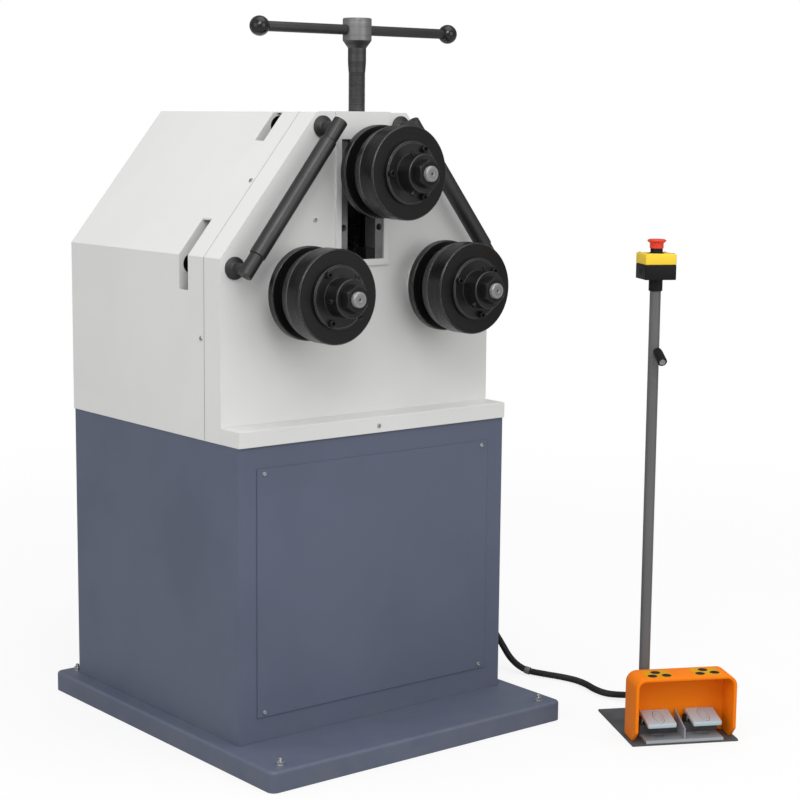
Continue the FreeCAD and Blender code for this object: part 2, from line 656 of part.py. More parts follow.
def inner_frame_parts():
    side = f"({CABINET_SIDE} - cabinet_wall)"
    front, back = "(cabinet_wall - cabinet_front)", f"({CABINET_BACK} - cabinet_wall)"
    bed = cut(block((f"-{side}", side), (front, back), (f"{BED} - bed_plate", BED)),
              rod("Z", "bed_hole", f"{BED} - bed_plate", BED, (0, f"{back} - 2 * bed_hole")))
    top = f"({BED} + frame_height)"
    upright_back = "(frame_face + frame_plate)"
    upright = block(("-frame_width / 2", "frame_width / 2"), ("frame_face", upright_back), (BED, top))
    ribs = [
        slab("YZ_Plane", [("frame_face", BED), ("frame_face", f"{BED} + frame_rib"), ("frame_face - frame_rib", BED)],
             f"{sign} * (frame_width / 2 - frame_plate / 2) - frame_plate / 2",
             f"{sign} * (frame_width / 2 - frame_plate / 2) + frame_plate / 2")
        for sign in (-1, 1)
    ]
    bores = [
        rod("Y", "bearing_radius + run", "frame_face", upright_back, (f"{sign} * roll_spacing / 2", LOWER))
        for sign in (-1, 1)
    ]
    bores.append(rod("Y", "pinion_shaft + run", "frame_face", upright_back, (0, pinion_height())))
    node("inner_frame", cut(fuse(bed, upright, *ribs), *bores))


# ---------------------------------------------------------------- housing

def housing_parts():
    front_plate_part()
    node("front_ledge", front_ledge())
    node("slot_frame", slot_frame())
    node("slide_gibs", slide_gibs())
    node("stop_block", block(("gib_inner - seat - stop_width", "gib_inner - seat"),
                             (f"{PLATE_FACE} + seat", f"{PLATE_FACE} + gib_depth - seat"),
                             (SLOT_LOW, f"{SLOT_LOW} + stop_height")))
    rear_cover_part()
    node("machine_screws", machine_screws())


def front_plate_part():
    """Thick plate with a pocketed back, a stepped slot for the slide and a lip inside the cover."""
    plate = slab("XZ_Plane", pentagon(0, BED), PLATE_FACE, PLATE_BACK)
    lip_inset = "(cover_wall + seat)"
    lip = slab("XZ_Plane", pentagon(lip_inset, f"{BED} + seat"), PLATE_BACK, f"{PLATE_BACK} + plate_lip")
    web_back = "(plate_web - plate_front)"
    pocket = slab("XZ_Plane", pentagon("plate_rim", f"{BED} + plate_rim"), web_back, f"{PLATE_BACK} + plate_lip")
    keep = [block(("-plate_spine", "plate_spine"), (web_back, PLATE_BACK), (BED, CROWN))]
    keep += [
        rod("Y", "bearing_radius + plate_rim", web_back, PLATE_BACK, (f"{sign} * roll_spacing / 2", LOWER))
        for sign in (-1, 1)
    ]
    body = cut(fuse(plate, lip), cut(pocket, *keep))
    gib_seat = block(("-slot_half", "slot_half"), (PLATE_FACE, f"{PLATE_FACE} + gib_depth"), (SLOT_LOW, CROWN))
    track = block(("-slide_half", "slide_half"), (PLATE_FACE, f"{PLATE_BACK} + plate_lip"), (SLOT_LOW, CROWN))
    bridge_half = "(slot_half + strip_width)"
    bridge = block((f"-{bridge_half}", bridge_half), (PLATE_FACE, f"{PLATE_BACK} + plate_lip"), (BRIDGE_LOW, CROWN))
    bores = []
    for sign in (-1, 1):
        bores.append(rod("Y", "bearing_radius + run", PLATE_FACE, PLATE_BACK, (f"{sign} * roll_spacing / 2", LOWER)))
        for spot in guide_post_spots(sign):
            bores.append(rod("Y", "guide_post_radius + run", PLATE_FACE, f"{PLATE_BACK} + plate_lip", spot))
    holes = [rod("Y", "small_screw_shank + run", f"{PLATE_FACE}", f"{PLATE_FACE} + small_screw_reach", spot)
             for spot in plate_screw_spots()]
    holes += [rod("Y", "hub_screw_shank + run", f"{PLATE_FACE} + gib_depth", PLATE_BACK, spot)
              for spot in gib_screw_spots()]
    node("front_plate", cut(body, gib_seat, track, bridge, *bores, *holes))


def plate_screw_spots():
    return [(f"{sign} * plate_screw_x", f"{BED} + plate_screw_rise") for sign in (-1, 1)]


def gib_screw_spots():
    across = "((slot_half + gib_inner) / 2)"
    return [(f"{sign} * {across}", f"{SLOT_LOW} + gib_screw_low + {k} * gib_screw_pitch")
            for sign in (-1, 1) for k in (0, 1)]


def front_ledge():
    """Folded sheet step in front of the plate, open below and behind."""
    half, sheet = "(housing_width / 2 - ledge_step)", "cabinet_wall"
    top = f"({BED} + ledge_height)"
    outer = slab("YZ_Plane", rectangle("-ledge_front", PLATE_FACE, BED, top), f"-{half}", half)
    round_edges(outer, "cabinet_wall / 2", on_height(SIZE["base_height"] + SIZE["cabinet_height"]
                                                     + SIZE["ledge_height"]))
    inner = block((f"-{half} + {sheet}", f"{half} - {sheet}"), (f"-ledge_front + {sheet}", PLATE_FACE),
                  (BED, f"{top} - {sheet}"))
    hole = rod("Y", "small_screw_shank + run", "-ledge_front", f"-ledge_front + {sheet}", ledge_screw_spot())
    return cut(outer, inner, hole)


def ledge_screw_spot():
    return 0, f"{BED} + ledge_height * 0.42"


def slot_frame():
    """Raised strips round the slot, welded to the screw bridge that closes its top."""
    outer, inner = "(slot_half + strip_width)", "slot_half"
    face = f"({PLATE_FACE} - strip_proud)"
    strips = cut(
        block((f"-{outer}", outer), (face, PLATE_FACE), (f"{SLOT_LOW} - strip_width", BRIDGE_LOW)),
        block((f"-{inner}", inner), (face, PLATE_FACE), (SLOT_LOW, BRIDGE_LOW)))
    bridge = block((f"-{outer}", outer), (face, PLATE_BACK), (BRIDGE_LOW, BRIDGE_TOP))
    thread = rod("Z", "screw_radius + run", BRIDGE_LOW, BRIDGE_TOP, (0, SCREW_Y))
    return cut(fuse(strips, bridge), thread)


def slide_gibs():
    gibs = []
    spots = gib_screw_spots()
    for sign, (near, far) in ((-1, ("-slot_half", "-gib_inner")), (1, ("gib_inner", "slot_half"))):
        bar = block((near, far), (PLATE_FACE, f"{PLATE_FACE} + gib_depth"), (SLOT_LOW, BRIDGE_LOW))
        chosen = spots[:2] if sign < 0 else spots[2:]
        holes = [rod("Y", "hub_screw_shank + run", PLATE_FACE, f"{PLATE_FACE} + gib_depth", spot) for spot in chosen]
        sinks = [rod("Y", "hub_screw_head + run", PLATE_FACE, f"{PLATE_FACE} + gib_depth / 2", spot)
                 for spot in chosen]
        gibs.append(cut(bar, *holes, *sinks))
    return group(*gibs)


def rear_cover_part():
    """Folded sheet cover with a back wall and an access slot over each guide nut."""
    outer = slab("XZ_Plane", pentagon(0, BED), PLATE_BACK, "cover_back")
    inner = slab("XZ_Plane", pentagon("cover_wall", BED), PLATE_BACK, "cover_back - cover_wall")
    shell = cut(outer, inner)
    slot_back = "(-access_front)"
    slot_front = "(-access_front - access_width)"
    slots, pockets = [], []
    for sign in (-1, 1):
        for reach, low, high in access_windows():
            across = [f"{sign} * {edge}" for edge in reach]
            inward = [f"{sign} * ({reach[0]} - access_pocket)", across[1]]
            if sign < 0:
                across.reverse()
                inward.reverse()
            slots.append(block(across, (slot_front, slot_back), (low, high)))
            pockets.append(block(inward, (slot_back, f"{slot_back} + cover_wall"),
                                 (f"{low} - access_pocket / 4", high)))
    walls = shared(fuse(*pockets), slab("XZ_Plane", pentagon("cover_wall / 2", BED), PLATE_BACK, "cover_back / 2"))
    holes = [rod("X", "small_screw_shank + run", low, high, spot) for low, high, spot in cover_screw_holes()]
    holes += [slope_piece(sign, "small_screw_shank + run", "-2 * cover_wall", "cover_wall") for sign in (-1, 1)]
    node("rear_cover", cut(fuse(cut(shell, *slots), walls), *holes))


def access_windows():
    """Inner and outer reach from the middle, bottom and top of the lower and the upper slot."""
    side = "(housing_width / 2 + cover_wall)"
    low = (("(housing_width / 2 - access_low_reach)", side),
           f"({BED} + access_low_bottom)", f"({BED} + access_low_top)")
    top = (("access_top_inner", f"({side} - housing_crown / 2)"),
           f"({BED} + access_top_bottom)", f"({CROWN} + cover_wall)")
    return [low, top]


def cover_screw_spot():
    return f"{PLATE_BACK} + plate_lip / 2", f"{BED} + cover_screw_rise"


def cover_screw_holes():
    side = "housing_width / 2"
    return [(f"-{side}", f"-{side} + cover_wall", cover_screw_spot()),
            (f"{side} - cover_wall", side, cover_screw_spot())]


def slope_piece(sign, radius, start, end):
    """A round piece square to the cover's slope, between two distances outward from its face."""
    across = (SIZE["housing_width"] - SIZE["housing_crown"]) / 2
    rise = SIZE["housing_height"] - SIZE["shoulder_height"]
    length = math.hypot(across, rise)
    outward = V(sign * rise / length, 0, across / length)
    part = SLOPE_SCREW
    return aimed(outward, radius, start, end, f"{sign} * (housing_width / 2 - {part * across})",
                 f"{PLATE_BACK} + plate_lip / 2", f"{SHOULDER} + {part * rise}")


def machine_screws():
    """Small screws of the panel, ledge, plate and cover, and the gib screws."""
    panel_face = "(-cabinet_front - panel_sheet)"
    screws = [screw("Y", -1, panel_face, spot) for spot in panel_screw_spots()]
    screws.append(screw("Y", -1, "(-ledge_front)", ledge_screw_spot()))
    screws += [screw("Y", -1, PLATE_FACE, spot, reach="small_screw_reach - seat") for spot in plate_screw_spots()]
    screws += [screw("X", sign, f"{sign} * housing_width / 2", cover_screw_spot(), reach="cover_wall")
               for sign in (-1, 1)]
    screws += [fuse(slope_piece(sign, "small_screw_radius", 0, "small_screw_head"),
                    slope_piece(sign, "small_screw_shank", "-cover_wall", 0)) for sign in (-1, 1)]
    screws += [screw("Y", -1, f"({PLATE_FACE} + gib_depth / 2)", spot, head="hub_screw_head", shank="hub_screw_shank",
                     height="hub_screw_head", reach="gib_depth")
               for spot in gib_screw_spots()]
    return group(*screws)


# ---------------------------------------------------------------- guides

def guide_direction(sign):
    """Unit vector from the upper to the lower end of a guide bar, and its length."""
    low = SIZE["housing_width"] / 2 - SIZE["guide_low_inset"]
    across = low - (SIZE["housing_crown"] / 2 - SIZE["guide_top_inset"])
    fall = SIZE["housing_height"] - SIZE["guide_top_drop"] - (SIZE["shoulder_height"] - SIZE["guide_low_drop"])
    length = math.hypot(across, fall)
    return V(sign * across / length, 0, -fall / length), length


def guide_post_spots(sign):
    """The two posts in X and Z, each an inset from its end of the bar."""
    run_x, run_z = f"({GUIDE_LOW_X} - {GUIDE_TOP_X})", f"({GUIDE_TOP_RISE} - {GUIDE_LOW_RISE})"
    length = f"sqrt({run_x} * {run_x} + {run_z} * {run_z})"
    step_x, step_z = f"guide_post_inset * {run_x} / {length}", f"guide_post_inset * {run_z} / {length}"
    return [(f"{sign} * ({GUIDE_TOP_X} + {step_x})", f"{BED} + {GUIDE_TOP_RISE} - {step_z}"),
            (f"{sign} * ({GUIDE_LOW_X} - {step_x})", f"{BED} + {GUIDE_LOW_RISE} + {step_z}")]


def aimed(direction, radius, start, end, x, y, z):
    """A cylinder along any direction, between two distances from a point."""
    piece = doc.addObject("Part::Cylinder", "Aimed")
    piece.Placement.Rotation = FreeCAD.Rotation(V(0, 0, 1), direction)
    bind(piece, Radius=radius, Height=f"{end} - ({start})")
    return locate(piece, *(f"{base} + ({start}) * {step}" for base, step in zip((x, y, z), direction)))


def bar_piece(sign, radius, start, end):
    """A round piece on a guide bar's axis, between two distances from its upper end."""
    direction = guide_direction(sign)[0]
    return aimed(direction, radius, start, end, f"{sign} * {GUIDE_TOP_X}", GUIDE_Y, f"{BED} + {GUIDE_TOP_RISE}")


def guide_parts():
    brackets = []
    for side, sign in SIDES:
        length = guide_direction(sign)[1]
        pieces = [
            bar_piece(sign, "guide_block_radius", 0, "guide_block"),
            bar_piece(sign, "guide_block_radius", f"{length} - guide_block", length),
            bar_piece(sign, "guide_rod_radius", "guide_block / 2", f"{length} - guide_block / 2"),
        ]
        for spot in guide_post_spots(sign):
            pieces += [
                rod("Y", "guide_post_radius", GUIDE_Y, f"{PLATE_BACK} + guide_tail", spot),
                cone("Y", "guide_post_radius", "guide_flange_radius", f"{PLATE_FACE} - 2 * guide_flange",
                     f"{PLATE_FACE} - guide_flange", spot),
                rod("Y", "guide_flange_radius", f"{PLATE_FACE} - guide_flange", PLATE_FACE, spot),
                rod("Y", "guide_nut_radius", f"{PLATE_BACK} + guide_tail - guide_nut", f"{PLATE_BACK} + guide_tail",
                    spot),
            ]
        brackets.append(fuse(*pieces))
        start, end = "guide_block + seat", f"{length} - guide_block - seat"
        node(f"guide_sleeve_{side}", cut(bar_piece(sign, "guide_sleeve_radius", start, end),
                                         bar_piece(sign, "guide_rod_radius + run", start, end)))
    node("guide_brackets", group(*brackets))


# ---------------------------------------------------------------- rolls

def roll_parts(name, x, z, shaft_back, collar_back):
    """Shaft, two discs, hub flange, hub screws and nut of one roll."""
    inner, bore, tip = "shaft_radius", "(shaft_radius + run)", "(thread_radius + run)"
    cap_start = f"({NUT_START} - hub_cap)"
    thread_start = f"({cap_start} - seat)"
    shaft = roll_body([
        (0, f"-({shaft_back})"), (inner, f"-({shaft_back})"), (inner, f"-({collar_back})"),
        ("collar_radius", f"-({collar_back})"), ("collar_radius", ROLL_START), (inner, ROLL_START),
        (inner, thread_start), ("thread_radius", thread_start), ("thread_radius", SHAFT_END),
        (0, SHAFT_END)], x, z)
    centre = rod("Y", "centre_radius", f"-{SHAFT_END}", f"-{SHAFT_END} + 3 * centre_radius", (x, z))
    node(f"{name}_shaft", cut(shaft, centre))
    rim = "(roll_radius - disc_bevel)"
    node(f"{name}_back_disc", roll_body([
        (bore, ROLL_START), (rim, ROLL_START), ("roll_radius", f"{ROLL_START} + disc_bevel"),
        ("roll_radius", f"{SPACER_START} - disc_bevel / 2"), ("roll_radius - disc_bevel / 2", SPACER_START),
        ("spacer_radius", SPACER_START), ("spacer_radius", TAPER_START), (bore, TAPER_START)], x, z))
    front_disc = roll_body([
        (bore, TAPER_START), ("roll_radius - taper_drop", TAPER_START), ("roll_radius", RIM_START),
        ("roll_radius", f"{FLANGE_START} - disc_bevel / 4"), ("roll_radius - disc_bevel / 4", FLANGE_START),
        (bore, FLANGE_START)], x, z)
    spots = hub_screw_spots(HUB_TURN[name], x, z)
    taps = [rod("Y", "hub_screw_shank + run", f"-{FLANGE_START}", f"-{FLANGE_START} + hub_screw_reach", spot)
            for spot in spots]
    node(f"{name}_front_disc", cut(front_disc, *taps))
    flange = roll_body([
        (bore, FLANGE_START), ("flange_radius", FLANGE_START), ("flange_radius", BOSS_START),
        ("boss_radius", BOSS_START), ("boss_radius", NUT_START), (tip, NUT_START), (tip, cap_start),
        (bore, cap_start)], x, z)
    holes = [rod("Y", "hub_screw_shank + run", f"-{BOSS_START}", f"-{FLANGE_START}", spot) for spot in spots]
    holes += [lock_piece(name, step, "lock_screw_radius + run", "lock_screw_foot - seat", "boss_radius + seat", x, z)
              for step in HUB_STEPS]
    node(f"{name}_hub", cut(flange, *holes))
    screws = []
    head_end = f"(-{BOSS_START} - hub_screw_tall)"
    for spot in spots:
        body = fuse(rod("Y", "hub_screw_head", head_end, f"-{BOSS_START}", spot),
                    rod("Y", "hub_screw_shank", f"-{BOSS_START}", f"-{FLANGE_START} + hub_screw_reach - seat", spot))
        socket = hexagon("Y", "hub_screw_head", head_end, f"{head_end} + hub_screw_tall * 0.6", spot)
        screws.append(cut(body, socket))
    top = "(boss_radius + lock_screw_proud)"
    screws += [fuse(lock_piece(name, step, "lock_screw_radius", "lock_screw_foot", top, x, z),
                    lock_piece(name, step, "lock_screw_head", f"{top} - lock_screw_tall", top, x, z))
               for step in HUB_STEPS]
    node(f"{name}_hub_screws", group(*screws))
    blank = hexagon("Y", "nut_flats", f"-{NUT_END}", f"-{NUT_START}", (x, z))
    chamfer = roll_body([
        (0, NUT_START), ("nut_flats", NUT_START), ("nut_flats / 2 - 1", NUT_END), (0, NUT_END)], x, z)
    hole = rod("Y", "thread_radius + run", f"-{NUT_END}", f"-{NUT_START}", (x, z))
    node(f"{name}_nut", cut(shared(blank, chamfer), hole))


def hub_screw_spots(turn, x, z):
    return [(f"{x} + hub_screw_circle * cos({turn + step} deg)", f"{z} + hub_screw_circle * sin({turn + step} deg)")
            for step in HUB_STEPS]


def lock_piece(name, step, radius, start, end, x, z):
    """A round piece square to a roll's axis in its boss, between two distances from the axis."""
    turn = math.radians(HUB_TURN[name] + 60 + step)
    return aimed(V(math.cos(turn), 0, math.sin(turn)), radius, start, end, x, f"-({NUT_START} - lock_screw_back)", z)


# ---------------------------------------------------------------- drive

def pinion_height():
    """The pinion axis lies one centre distance from both roll axes."""
    reach = "(gear_module * (gear_teeth + pinion_teeth) / 2)"
    return f"({LOWER} - sqrt({reach} * {reach} - roll_spacing * roll_spacing / 4))"


def gear(teeth, bore, x, z, phase):
    """A spur gear with straight-sided teeth; phase turns its first tooth from +X towards +Z."""
    pitch = f"({teeth} * gear_module / 2)"
    root, tip = f"({pitch} - 1.25 * gear_module)", f"({pitch} + gear_module * 0.9)"
    body = doc.addObject("PartDesign::Body", "Gear")
    disc = new_sketch(body, "XY_Plane", 0)
    draw_circle(disc, root)
    draw_circle(disc, bore)
    pad = body.newObject("PartDesign::Pad", "Disc")
    pad.Profile = disc
    bind(pad, Length="gear_face")
    tooth = new_sketch(body, "XY_Plane", 0)
    foot, head = "(gear_module * 0.9)", "(gear_module * 0.3)"
    draw(tooth, [(f"{root} - gear_module / 2", f"-{foot}"), (tip, f"-{head}"), (tip, head),
                 (f"{root} - gear_module / 2", foot)])
    tooth_pad = body.newObject("PartDesign::Pad", "Tooth")
    tooth_pad.Profile = tooth
    bind(tooth_pad, Length="gear_face")
    pattern = body.newObject("PartDesign::PolarPattern", "Teeth")
    pattern.Originals = [tooth_pad]
    pattern.Axis = (tooth, ["N_Axis"])
    pattern.Angle = 360
    bind(pattern, Occurrences=teeth)
    body.Tip = pattern
    body.Placement.Rotation = FORWARD.multiply(FreeCAD.Rotation(V(0, 0, 1), phase))
    return locate(body, x, "gear_face - gear_front", z)


def gear_phase(sign):
    """Turn of a roll's gear that puts one of its gaps over a pinion tooth."""
    reach = SIZE["gear_module"] * (SIZE["gear_teeth"] + SIZE["pinion_teeth"]) / 2
    toward = math.degrees(math.acos(sign * SIZE["roll_spacing"] / 2 / reach))
    pinion_pitch = 360 / SIZE["pinion_teeth"]
    lag = (pinion_pitch / 2 - toward) % pinion_pitch - pinion_pitch / 2
    return toward + 180 - lag * SIZE["pinion_teeth"] / SIZE["gear_teeth"] + 180 / SIZE["gear_teeth"]


def drive_parts():
    for side, sign in SIDES:
        node(f"drive_gear_{side}",
             gear("gear_teeth", "(shaft_radius + run)", f"{sign} * roll_spacing / 2", LOWER, gear_phase(sign)))
    height = pinion_height()
    pinion_gear = gear("pinion_teeth", "pinion_shaft / 2", 0, height, 0)
    shaft_end = "(frame_face + frame_plate + gearbox_seat + gearbox_depth)"
    shaft = rod("Y", "pinion_shaft", "-gear_front", shaft_end, (0, height))
    node("drive_pinion", fuse(pinion_gear, shaft))
    bearings = []
    for sign in (-1, 1):
        spot = (f"{sign} * roll_spacing / 2", LOWER)
        front = cut(fuse(rod("Y", "bearing_radius", PLATE_FACE, PLATE_BACK, spot),
                         rod("Y", "bearing_flange", f"{PLATE_FACE} - bearing_cap", PLATE_FACE, spot)),
                    rod("Y", "shaft_radius + run", f"{PLATE_FACE} - bearing_cap", PLATE_BACK, spot))
        rear = cut(rod("Y", "bearing_radius", "frame_face", "frame_face + frame_plate", spot),
                   rod("Y", "shaft_radius + run", "frame_face", "frame_face + frame_plate", spot))
        bearings += [front, rear]
    node("roll_bearings", group(*bearings))
    gearbox_and_motor(height)


def gearbox_and_motor(height):
    face = "(frame_face + frame_plate)"
    front, back = f"({face} + gearbox_seat)", f"({face} + gearbox_seat + gearbox_depth)"
    half, tall = "gearbox_width / 2", "gearbox_height / 2"
    case = slab("XZ_Plane", rectangle(f"-{half}", half, f"{height} - {tall}", f"{height} + {tall}"), front, back)
    round_edges(case, "gearbox_seat", lambda edge: edge.BoundBox.YLength > SIZE["gearbox_depth"] - 1)
    pad = rod("Y", "gearbox_width * 0.42", face, front, (0, height))
    worm_z = f"({height} - motor_drop)"
    middle = f"(({front} + {back}) / 2)"
    neck = rod("X", "motor_radius * 0.7", half, f"{half} + gearbox_seat", (middle, worm_z))
    bore = rod("Y", "pinion_shaft + run", face, back, (0, height))
    node("gearbox", cut(fuse(case, pad, neck), bore))
    start = f"({half} + gearbox_seat)"
    ribs = [rod("X", "motor_radius + 3", f"{start} + motor_length * 0.12 + {k} * motor_length * 0.065",
                f"{start} + motor_length * 0.12 + ({k} + 0.5) * motor_length * 0.065", (middle, worm_z))
            for k in range(9)]
    terminal = block((f"{start} + motor_length * 0.25", f"{start} + motor_length * 0.65"),
                     (f"{middle} - motor_radius / 2", f"{middle} + motor_radius / 2"),
                     (worm_z, f"{worm_z} + motor_radius * 1.45"))
    node("motor", fuse(
        rod("X", "motor_radius", start, f"{start} + motor_length * 0.78", (middle, worm_z)),
        rod("X", "motor_radius + 5", start, f"{start} + motor_length * 0.06", (middle, worm_z)),
        rod("X", "motor_radius + 3", f"{start} + motor_length * 0.78", f"{start} + motor_length", (middle, worm_z)),
        terminal, *ribs))


# ---------------------------------------------------------------- slide and lift screw

def slide_parts():
    """Block that carries the upper roll between the gibs, and the screw that drives it."""
    flange_back = f"({PLATE_BACK} + seat + slide_flange_depth)"
    track = "(slide_half - slide_run)"
    nose = "(gib_inner - slide_run)"
    nose_back = f"({PLATE_FACE} + gib_depth)"
    body = block((f"-{track}", track), (f"{nose_back} + seat", flange_back), (SLIDE_LOW, SLIDE_TOP))
    front = block((f"-{nose}", nose), (f"{PLATE_FACE} + 1.5", f"{nose_back} + seat"), (SLIDE_LOW, SLIDE_TOP))
    flange = block(("-slide_flange", "slide_flange"), (f"{PLATE_BACK} + seat", flange_back),
                   (SLIDE_LOW, SLIDE_TOP))
    bore = rod("Y", "shaft_radius + seat", f"{PLATE_FACE}", flange_back, (0, UPPER))
    seats = [rod("Y", "needle_radius + run", *span, (0, UPPER)) for span in needle_spans()]
    pocket = rod("Z", "screw_pintle + run", f"{SLIDE_TOP} - pintle_depth - seat", SLIDE_TOP, (0, SCREW_Y))
    node("slide_block", cut(fuse(body, front, flange), bore, pocket, *seats))
    node("slide_bearings", group(*[
        cut(rod("Y", "needle_radius", *span, (0, UPPER)), rod("Y", "shaft_radius + run", *span, (0, UPPER)))
        for span in needle_spans()]))
    thread_end = f"({SLIDE_TOP} + seat + screw_thread)"
    screw_body = turned([
        (0, f"{SLIDE_TOP} - pintle_depth"), ("screw_pintle", f"{SLIDE_TOP} - pintle_depth"),
        ("screw_pintle", f"{SLIDE_TOP} + seat"), ("screw_radius", f"{SLIDE_TOP} + seat"),
        ("screw_radius", thread_end), ("screw_stem", f"{thread_end} + screw_stem"), ("screw_stem", TEE_LOW),
        ("tee_radius", f"{TEE_LOW} + tee_cone"), ("tee_radius", f"{TEE_TOP} - 3"), ("tee_radius - 3", TEE_TOP),
        (0, TEE_TOP)], FreeCAD.Rotation(), 0, SCREW_Y, 0)
    bar_z = f"({TEE_TOP} - tee_bar_drop)"
    cross = rod("X", "bar_radius + run", "-tee_radius", "tee_radius", (SCREW_Y, bar_z))
    node("lift_screw", cut(screw_body, cross))
    reach = "(ball_reach - ball_radius + ball_socket)"
    node("handle_bar", rod("X", "bar_radius", f"-{reach}", reach, (SCREW_Y, bar_z)))
    balls = [cut(ball("ball_radius", f"{sign} * ball_reach", SCREW_Y, bar_z),
                 rod("X", "bar_radius + run", f"-{reach} - seat", f"{reach} + seat", (SCREW_Y, bar_z)))
             for sign in (-1, 1)]
    node("handle_balls", group(*balls))


def needle_spans():
    """The two slide bearings, one at each end of the track."""
    front = f"({PLATE_FACE} + gib_depth + 2 * seat)"
    back = f"({PLATE_BACK} + seat + slide_flange_depth)"
    return [(front, f"{front} + 25"), (f"{back} - 25", back)]


# ---------------------------------------------------------------- glands

def gland_parts():
    side = CABINET_SIDE
    control = gland("X", side, (CABLE_START_Y, CABLE_START_Z), "cable_radius")
    mains = gland("Y", CABINET_BACK, ("mains_x", "base_height + mains_rise"), "mains_bore")
    hood_back = "(hood_front + hood_depth)"
    foot = gland("Y", hood_back, (HOOD_GLAND_X, HOOD_GLAND_Z), "cable_radius")
    on_stand(foot)
    node("cable_glands", group(control, mains, foot))


def gland(axis, wall, across, bore):
    """Hexagon, threaded neck and rounded dome; a control cable's end butts on its mouth."""
    mouth = f"({wall} + gland_length)"
    shell = fuse(
        hexagon(axis, "gland_flats", wall, f"{wall} + gland_nut", across),
        rod(axis, "gland_radius", f"{wall} + gland_nut", f"{mouth} - gland_nut", across),
        cone(axis, "gland_radius", "gland_radius - 2.5", f"{mouth} - gland_nut", mouth, across))
    depth = f"{mouth} - gland_nut" if bore == "cable_radius" else wall
    return cut(shell, rod(axis, bore, wall, mouth if bore != "cable_radius" else depth, across))


# ---------------------------------------------------------------- foot switch stand

def on_stand(obj):
    """Move a piece from the stand's own frame to its place on the floor."""
    obj.Placement.Rotation = FreeCAD.Rotation(V(0, 0, 1), SIZE["stand_turn"])
    return locate(obj, "stand_x", "stand_y", 0)


def stand_parts():
    plate = block((0, "foot_width"), (0, "foot_depth"), (0, "foot_plate"))
    node("foot_plate", on_stand(plate))
    node("foot_hood", on_stand(foot_hood()))
    node("pedal_tray", on_stand(pedal_tray()))
    for side in ("left", "right"):
        node(f"pedal_{side}", on_stand(pedal(f"pedal_{side}_x")))
        node(f"pedal_spring_{side}", on_stand(pedal_spring(side)))
    post = cut(fuse(rod("Z", "post_radius", "foot_plate", "post_top", post_spot()),
                    rod("Z", "post_foot_radius", "foot_plate", "foot_plate + post_foot", post_spot())),
               rod("Z", "post_radius - post_wall", "foot_plate", "post_top", post_spot()),
               rod("Y", "clamp_stud + run", "post_y - post_radius", "post_y", ("post_x", "clamp_rise")))
    node("stand_post", on_stand(post))
    node("clamp_handle", on_stand(clamp_handle()))
    stop_parts()


def post_spot():
    return "post_x", "post_y"


def foot_hood():
    """Open-fronted hood over the pedals, rounded above, its toes cut back below."""
    left, right = "hood_left", "(hood_left + hood_width)"
    front, back = "hood_front", "(hood_front + hood_depth)"
    outer = slab("XY_Plane", rectangle(left, right, front, back), "foot_plate", "hood_top")
    top_sides = on_height(SIZE["hood_top"])
    round_edges(outer, "hood_corner", lambda edge: top_sides(edge) and edge.BoundBox.YLength > 1)
    inner = slab("XY_Plane", rectangle(f"{left} + hood_wall", f"{right} - hood_wall", front, f"{back} - hood_wall"),
                 "foot_plate", "hood_top - hood_wall")
    inner_sides = on_height(SIZE["hood_top"] - SIZE["hood_wall"])
    round_edges(inner, "hood_corner - hood_wall", lambda edge: inner_sides(edge) and edge.BoundBox.YLength > 1)
    toe = slab("YZ_Plane", [(f"{front} - seat", "foot_plate"), (f"{front} + hood_toe_back", "foot_plate"),
                            (front, "foot_plate + hood_toe_up"), (f"{front} - seat", "foot_plate + hood_toe_up")],
               left, right)
    cable_hole = rod("Y", "cable_radius + seat", f"{back} - hood_wall", back, (HOOD_GLAND_X, HOOD_GLAND_Z))
    return cut(outer, inner, toe, cable_hole)


def pedal_tray():
    """Tray on the floor plate with round recesses, a switch block, a divider and the pedals' pivot lugs."""
    left, right = "tray_left", "(tray_left + tray_width)"
    low, top = "foot_plate", "(foot_plate + tray_thick)"
    back = "(hood_front + hood_depth - hood_wall - seat)"
    sheet = slab("YZ_Plane", [(0, low), (back, low), (back, top), ("tray_bevel", top), (0, f"{low} + 1")], left, right)
    seats = [rod("Z", "recess_radius", f"{top} - recess_depth", top, (pedal_middle(side), "recess_line"))
             for side in ("left", "right")]
    switches = block((left, right), ("switch_front", back), (top, "switch_rise"))
    middle = f"({left} + tray_width / 2)"
    divider = slab("YZ_Plane", [("tray_bevel", top), (back, top), (back, f"{top} + divider_high"),
                                ("pedal_front", f"{top} + divider_low"), ("tray_bevel", f"{top} + divider_low")],
                   f"{middle} - divider_thick / 2", f"{middle} + divider_thick / 2")
    lugs = []
    for side in ("left", "right"):
        start = f"pedal_{side}_x"
        for near in (f"{start} - seat - pivot_ear", f"{start} + pedal_width + seat"):
            lugs += [
                block((near, f"{near} + pivot_ear"), ("pivot_back - pivot_lug", "pivot_back + pivot_lug"),
                      (top, "pivot_rise")),
                rod("X", "pivot_lug", near, f"{near} + pivot_ear", ("pivot_back", "pivot_rise"))]
        lugs.append(rod("X", "pivot_radius", f"{start} - seat - pivot_ear", f"{start} + pedal_width + seat",
                        ("pivot_back", "pivot_rise")))
    return fuse(cut(sheet, *seats), switches, divider, *lugs)


def pedal_middle(side):
    return f"(pedal_{side}_x + pedal_width / 2)"


